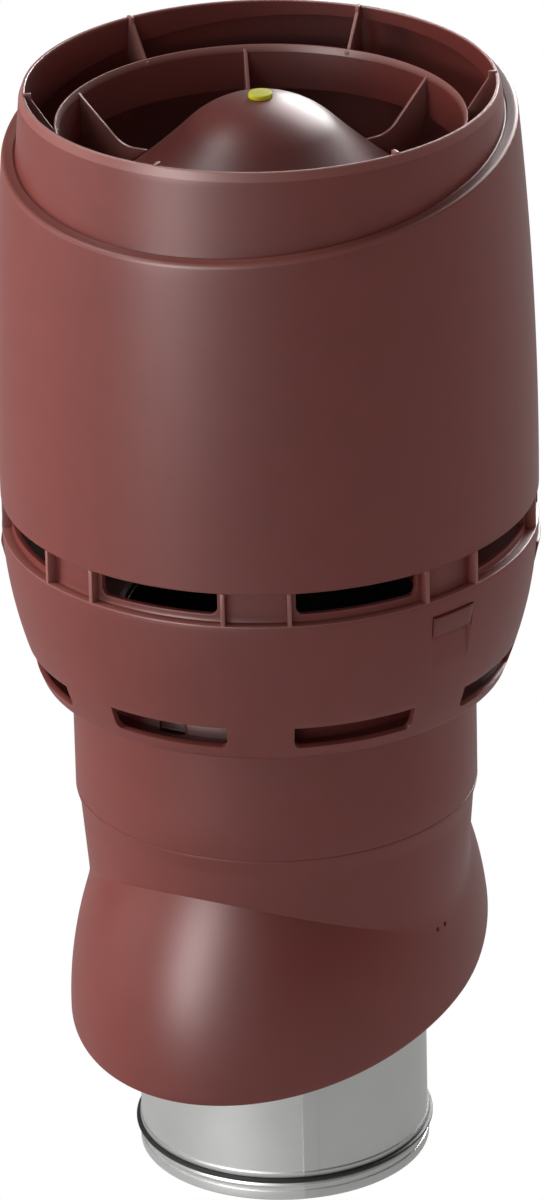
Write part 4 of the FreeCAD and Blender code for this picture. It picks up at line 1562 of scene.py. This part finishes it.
@dataclass
class Studio:
    """Camera, lights, white world and pale floor."""

    azimuth: float = 26.0
    camera_reach: float = 3.853
    camera_z: float = 2.1095
    pitch: float = 0.4348
    roll: float = -0.0241
    lens: float = 240.0
    sensor: float = 36.0
    clip: float = 50.0
    floor_gloss: float = 0.42
    floor_tone: float = 0.8
    floor_half: float = 12.0
    world_fill: float = 0.26
    world_gloss: float = 0.095
    target_z: float = 0.33

    def camera(self) -> None:
        """Place the camera that was solved from the photograph's ellipses."""
        turn = math.radians(self.azimuth)
        sine, cosine = math.sin(self.pitch), math.cos(self.pitch)
        ahead = Vector((-cosine * math.sin(turn), cosine * math.cos(turn), -sine))
        right = Vector((math.cos(turn), math.sin(turn), 0.0))
        up = right.cross(ahead)
        side = math.cos(self.roll) * right + math.sin(self.roll) * up
        top = math.cos(self.roll) * up - math.sin(self.roll) * right
        lens = bpy.data.cameras.new("photo_camera")
        lens.lens = self.lens
        lens.sensor_fit = "VERTICAL"
        lens.sensor_height = self.sensor
        lens.clip_end = self.clip
        holder = bpy.data.objects.new("photo_camera", lens)
        reach = self.camera_reach
        place = Vector((reach * math.sin(turn), -reach * math.cos(turn), self.camera_z))
        basis = Matrix((side, top, -ahead)).transposed().to_4x4()
        holder.matrix_world = Matrix.Translation(place) @ basis
        bpy.context.scene.collection.objects.link(holder)
        bpy.context.scene.camera = holder

    def world(self) -> None:
        """Make a world that is white for the camera, and grey for shadows and reflections."""
        world = bpy.data.worlds.new("studio_white")
        bpy.context.scene.world = world
        world.use_nodes = True
        tree = world.node_tree
        tree.nodes.clear()
        path = add_node(tree, "ShaderNodeLightPath")
        fill = add_node(tree, "ShaderNodeMapRange")
        fill.inputs["To Min"].default_value = self.world_fill
        fill.inputs["To Max"].default_value = self.world_gloss
        tree.links.new(path.outputs["Is Glossy Ray"], fill.inputs["Value"])
        level = add_node(tree, "ShaderNodeMapRange")
        tree.links.new(path.outputs["Is Camera Ray"], level.inputs["Value"])
        tree.links.new(fill.outputs["Result"], level.inputs["To Min"])
        light = add_node(tree, "ShaderNodeBackground")
        tree.links.new(level.outputs["Result"], light.inputs["Strength"])
        end = add_node(tree, "ShaderNodeOutputWorld")
        tree.links.new(light.outputs["Background"], end.inputs["Surface"])

    def floor(self) -> None:
        """Pale floor under the spigot: white to the camera, even in reflections, matte to all other light."""
        corners = np.array([(-1.0, -1.0, 0.0), (1.0, -1.0, 0.0), (1.0, 1.0, 0.0), (-1.0, 1.0, 0.0)])
        piece = make_mesh("studio_floor", corners * self.floor_half, [[0, 1, 2, 3]])
        material = bpy.data.materials.new("studio_floor")
        material.use_nodes = True
        tree = material.node_tree
        tree.nodes.clear()
        matte = add_node(tree, "ShaderNodeBsdfDiffuse")
        matte.inputs["Color"].default_value = (*[self.floor_tone] * 3, 1.0)
        white = add_node(tree, "ShaderNodeEmission")
        even = add_node(tree, "ShaderNodeEmission")
        even.inputs["Strength"].default_value = self.floor_gloss
        path = add_node(tree, "ShaderNodeLightPath")
        seen = add_node(tree, "ShaderNodeMixShader")
        mix = add_node(tree, "ShaderNodeMixShader")
        end = add_node(tree, "ShaderNodeOutputMaterial")
        tree.links.new(path.outputs["Is Camera Ray"], mix.inputs["Fac"])
        tree.links.new(path.outputs["Is Glossy Ray"], seen.inputs["Fac"])
        tree.links.new(matte.outputs["BSDF"], seen.inputs[1])
        tree.links.new(even.outputs["Emission"], seen.inputs[2])
        tree.links.new(seen.outputs["Shader"], mix.inputs[1])
        tree.links.new(white.outputs["Emission"], mix.inputs[2])
        tree.links.new(mix.outputs["Shader"], end.inputs["Surface"])
        piece.data.materials.append(material)

    def build(self) -> None:
        """Set up the whole studio."""
        bpy.context.scene.view_settings.view_transform = "Standard"
        self.camera()
        self.world()
        self.floor()
        target = Vector((0.0, 0.0, self.target_z))
        boxes = (
            SoftBox("key_left", beside_camera(-95.0, 2.2, 0.6), (1.0, 1.2), 52.0, glossy=False),
            SoftBox("strip_left", beside_camera(-41.0, 2.4, 1.1), (0.9, 2.0), 80.0, diffuse=False),
            SoftBox("front_fill", beside_camera(-14.0, 3.4, 0.9), (1.6, 1.4), 25.0, glossy=False),
            SoftBox("overhead", beside_camera(-92.0, 1.35, 2.3), (0.9, 0.9), 19.0),
            SoftBox("side_right", beside_camera(116.0, 2.4, 0.5), (0.8, 1.2), 25.0, glossy=False),
            SoftBox("back_right", beside_camera(158.0, 2.4, 1.2), (1.2, 0.9), 70.0, diffuse=False),
            SoftBox("top_right", beside_camera(150.0, 2.1, 2.25), (1.5, 1.1), 60.0, diffuse=False),
        )
        for box in boxes:
            box.build(target)


def dress_frame_nodes(materials: dict[str, bpy.types.Material]) -> None:
    """Give the hidden frame nodes that stay their finish.

    Args:
        materials: Materials by finish name.
    """
    finishes = {"pipe_cap": BRICK, "insulation_sleeve": FOAM}
    for node, finish in finishes.items():
        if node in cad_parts:
            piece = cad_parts[node]
            piece.data.materials.clear()
            piece.data.materials.append(materials[finish.name])
            LOG.info("%s keeps its solid in %s", node, finish.name)


def main() -> None:
    """Build the finishes, the sub-assemblies and the studio."""
    logging.basicConfig(level=logging.INFO, format="%(name)s %(message)s")
    skin = mould_group()
    materials = {finish.name: finish.build(skin) for finish in (BRICK, YELLOW, ZINC, RUBBER, FOAM)}
    bowl = DripBowl()
    dress(Hood().build(), BRICK, materials, "hood_jacket")
    dress(SnapTongues().build(bowl.side_radius), BRICK, materials)
    dress(bowl.build(), BRICK, materials, "drip_bowl")
    dress(bowl.build_ribs(), BRICK, materials)
    dress(bowl.build_lugs(), BRICK, materials)
    dress(NeckPipe().build(), BRICK, materials, "outer_pipe")
    duct = SteelDuct()
    dress(duct.build(), ZINC, materials, "steel_duct")
    dress(duct.build_seal(), RUBBER, materials, "duct_seal")
    insert = GuideInsert()
    dress(insert.build_ring(), BRICK, materials, "guide_ring")
    dress(insert.build_outer_vanes(), BRICK, materials)
    dress(insert.build_inner_vanes(), BRICK, materials)
    dress(insert.build_bell(), BRICK, materials, "deflector_bell")
    dress(insert.build_plug(), YELLOW, materials, "peak_plug")
    dress_frame_nodes(materials)
    Studio().build()


if __name__ == "__main__":
    main()
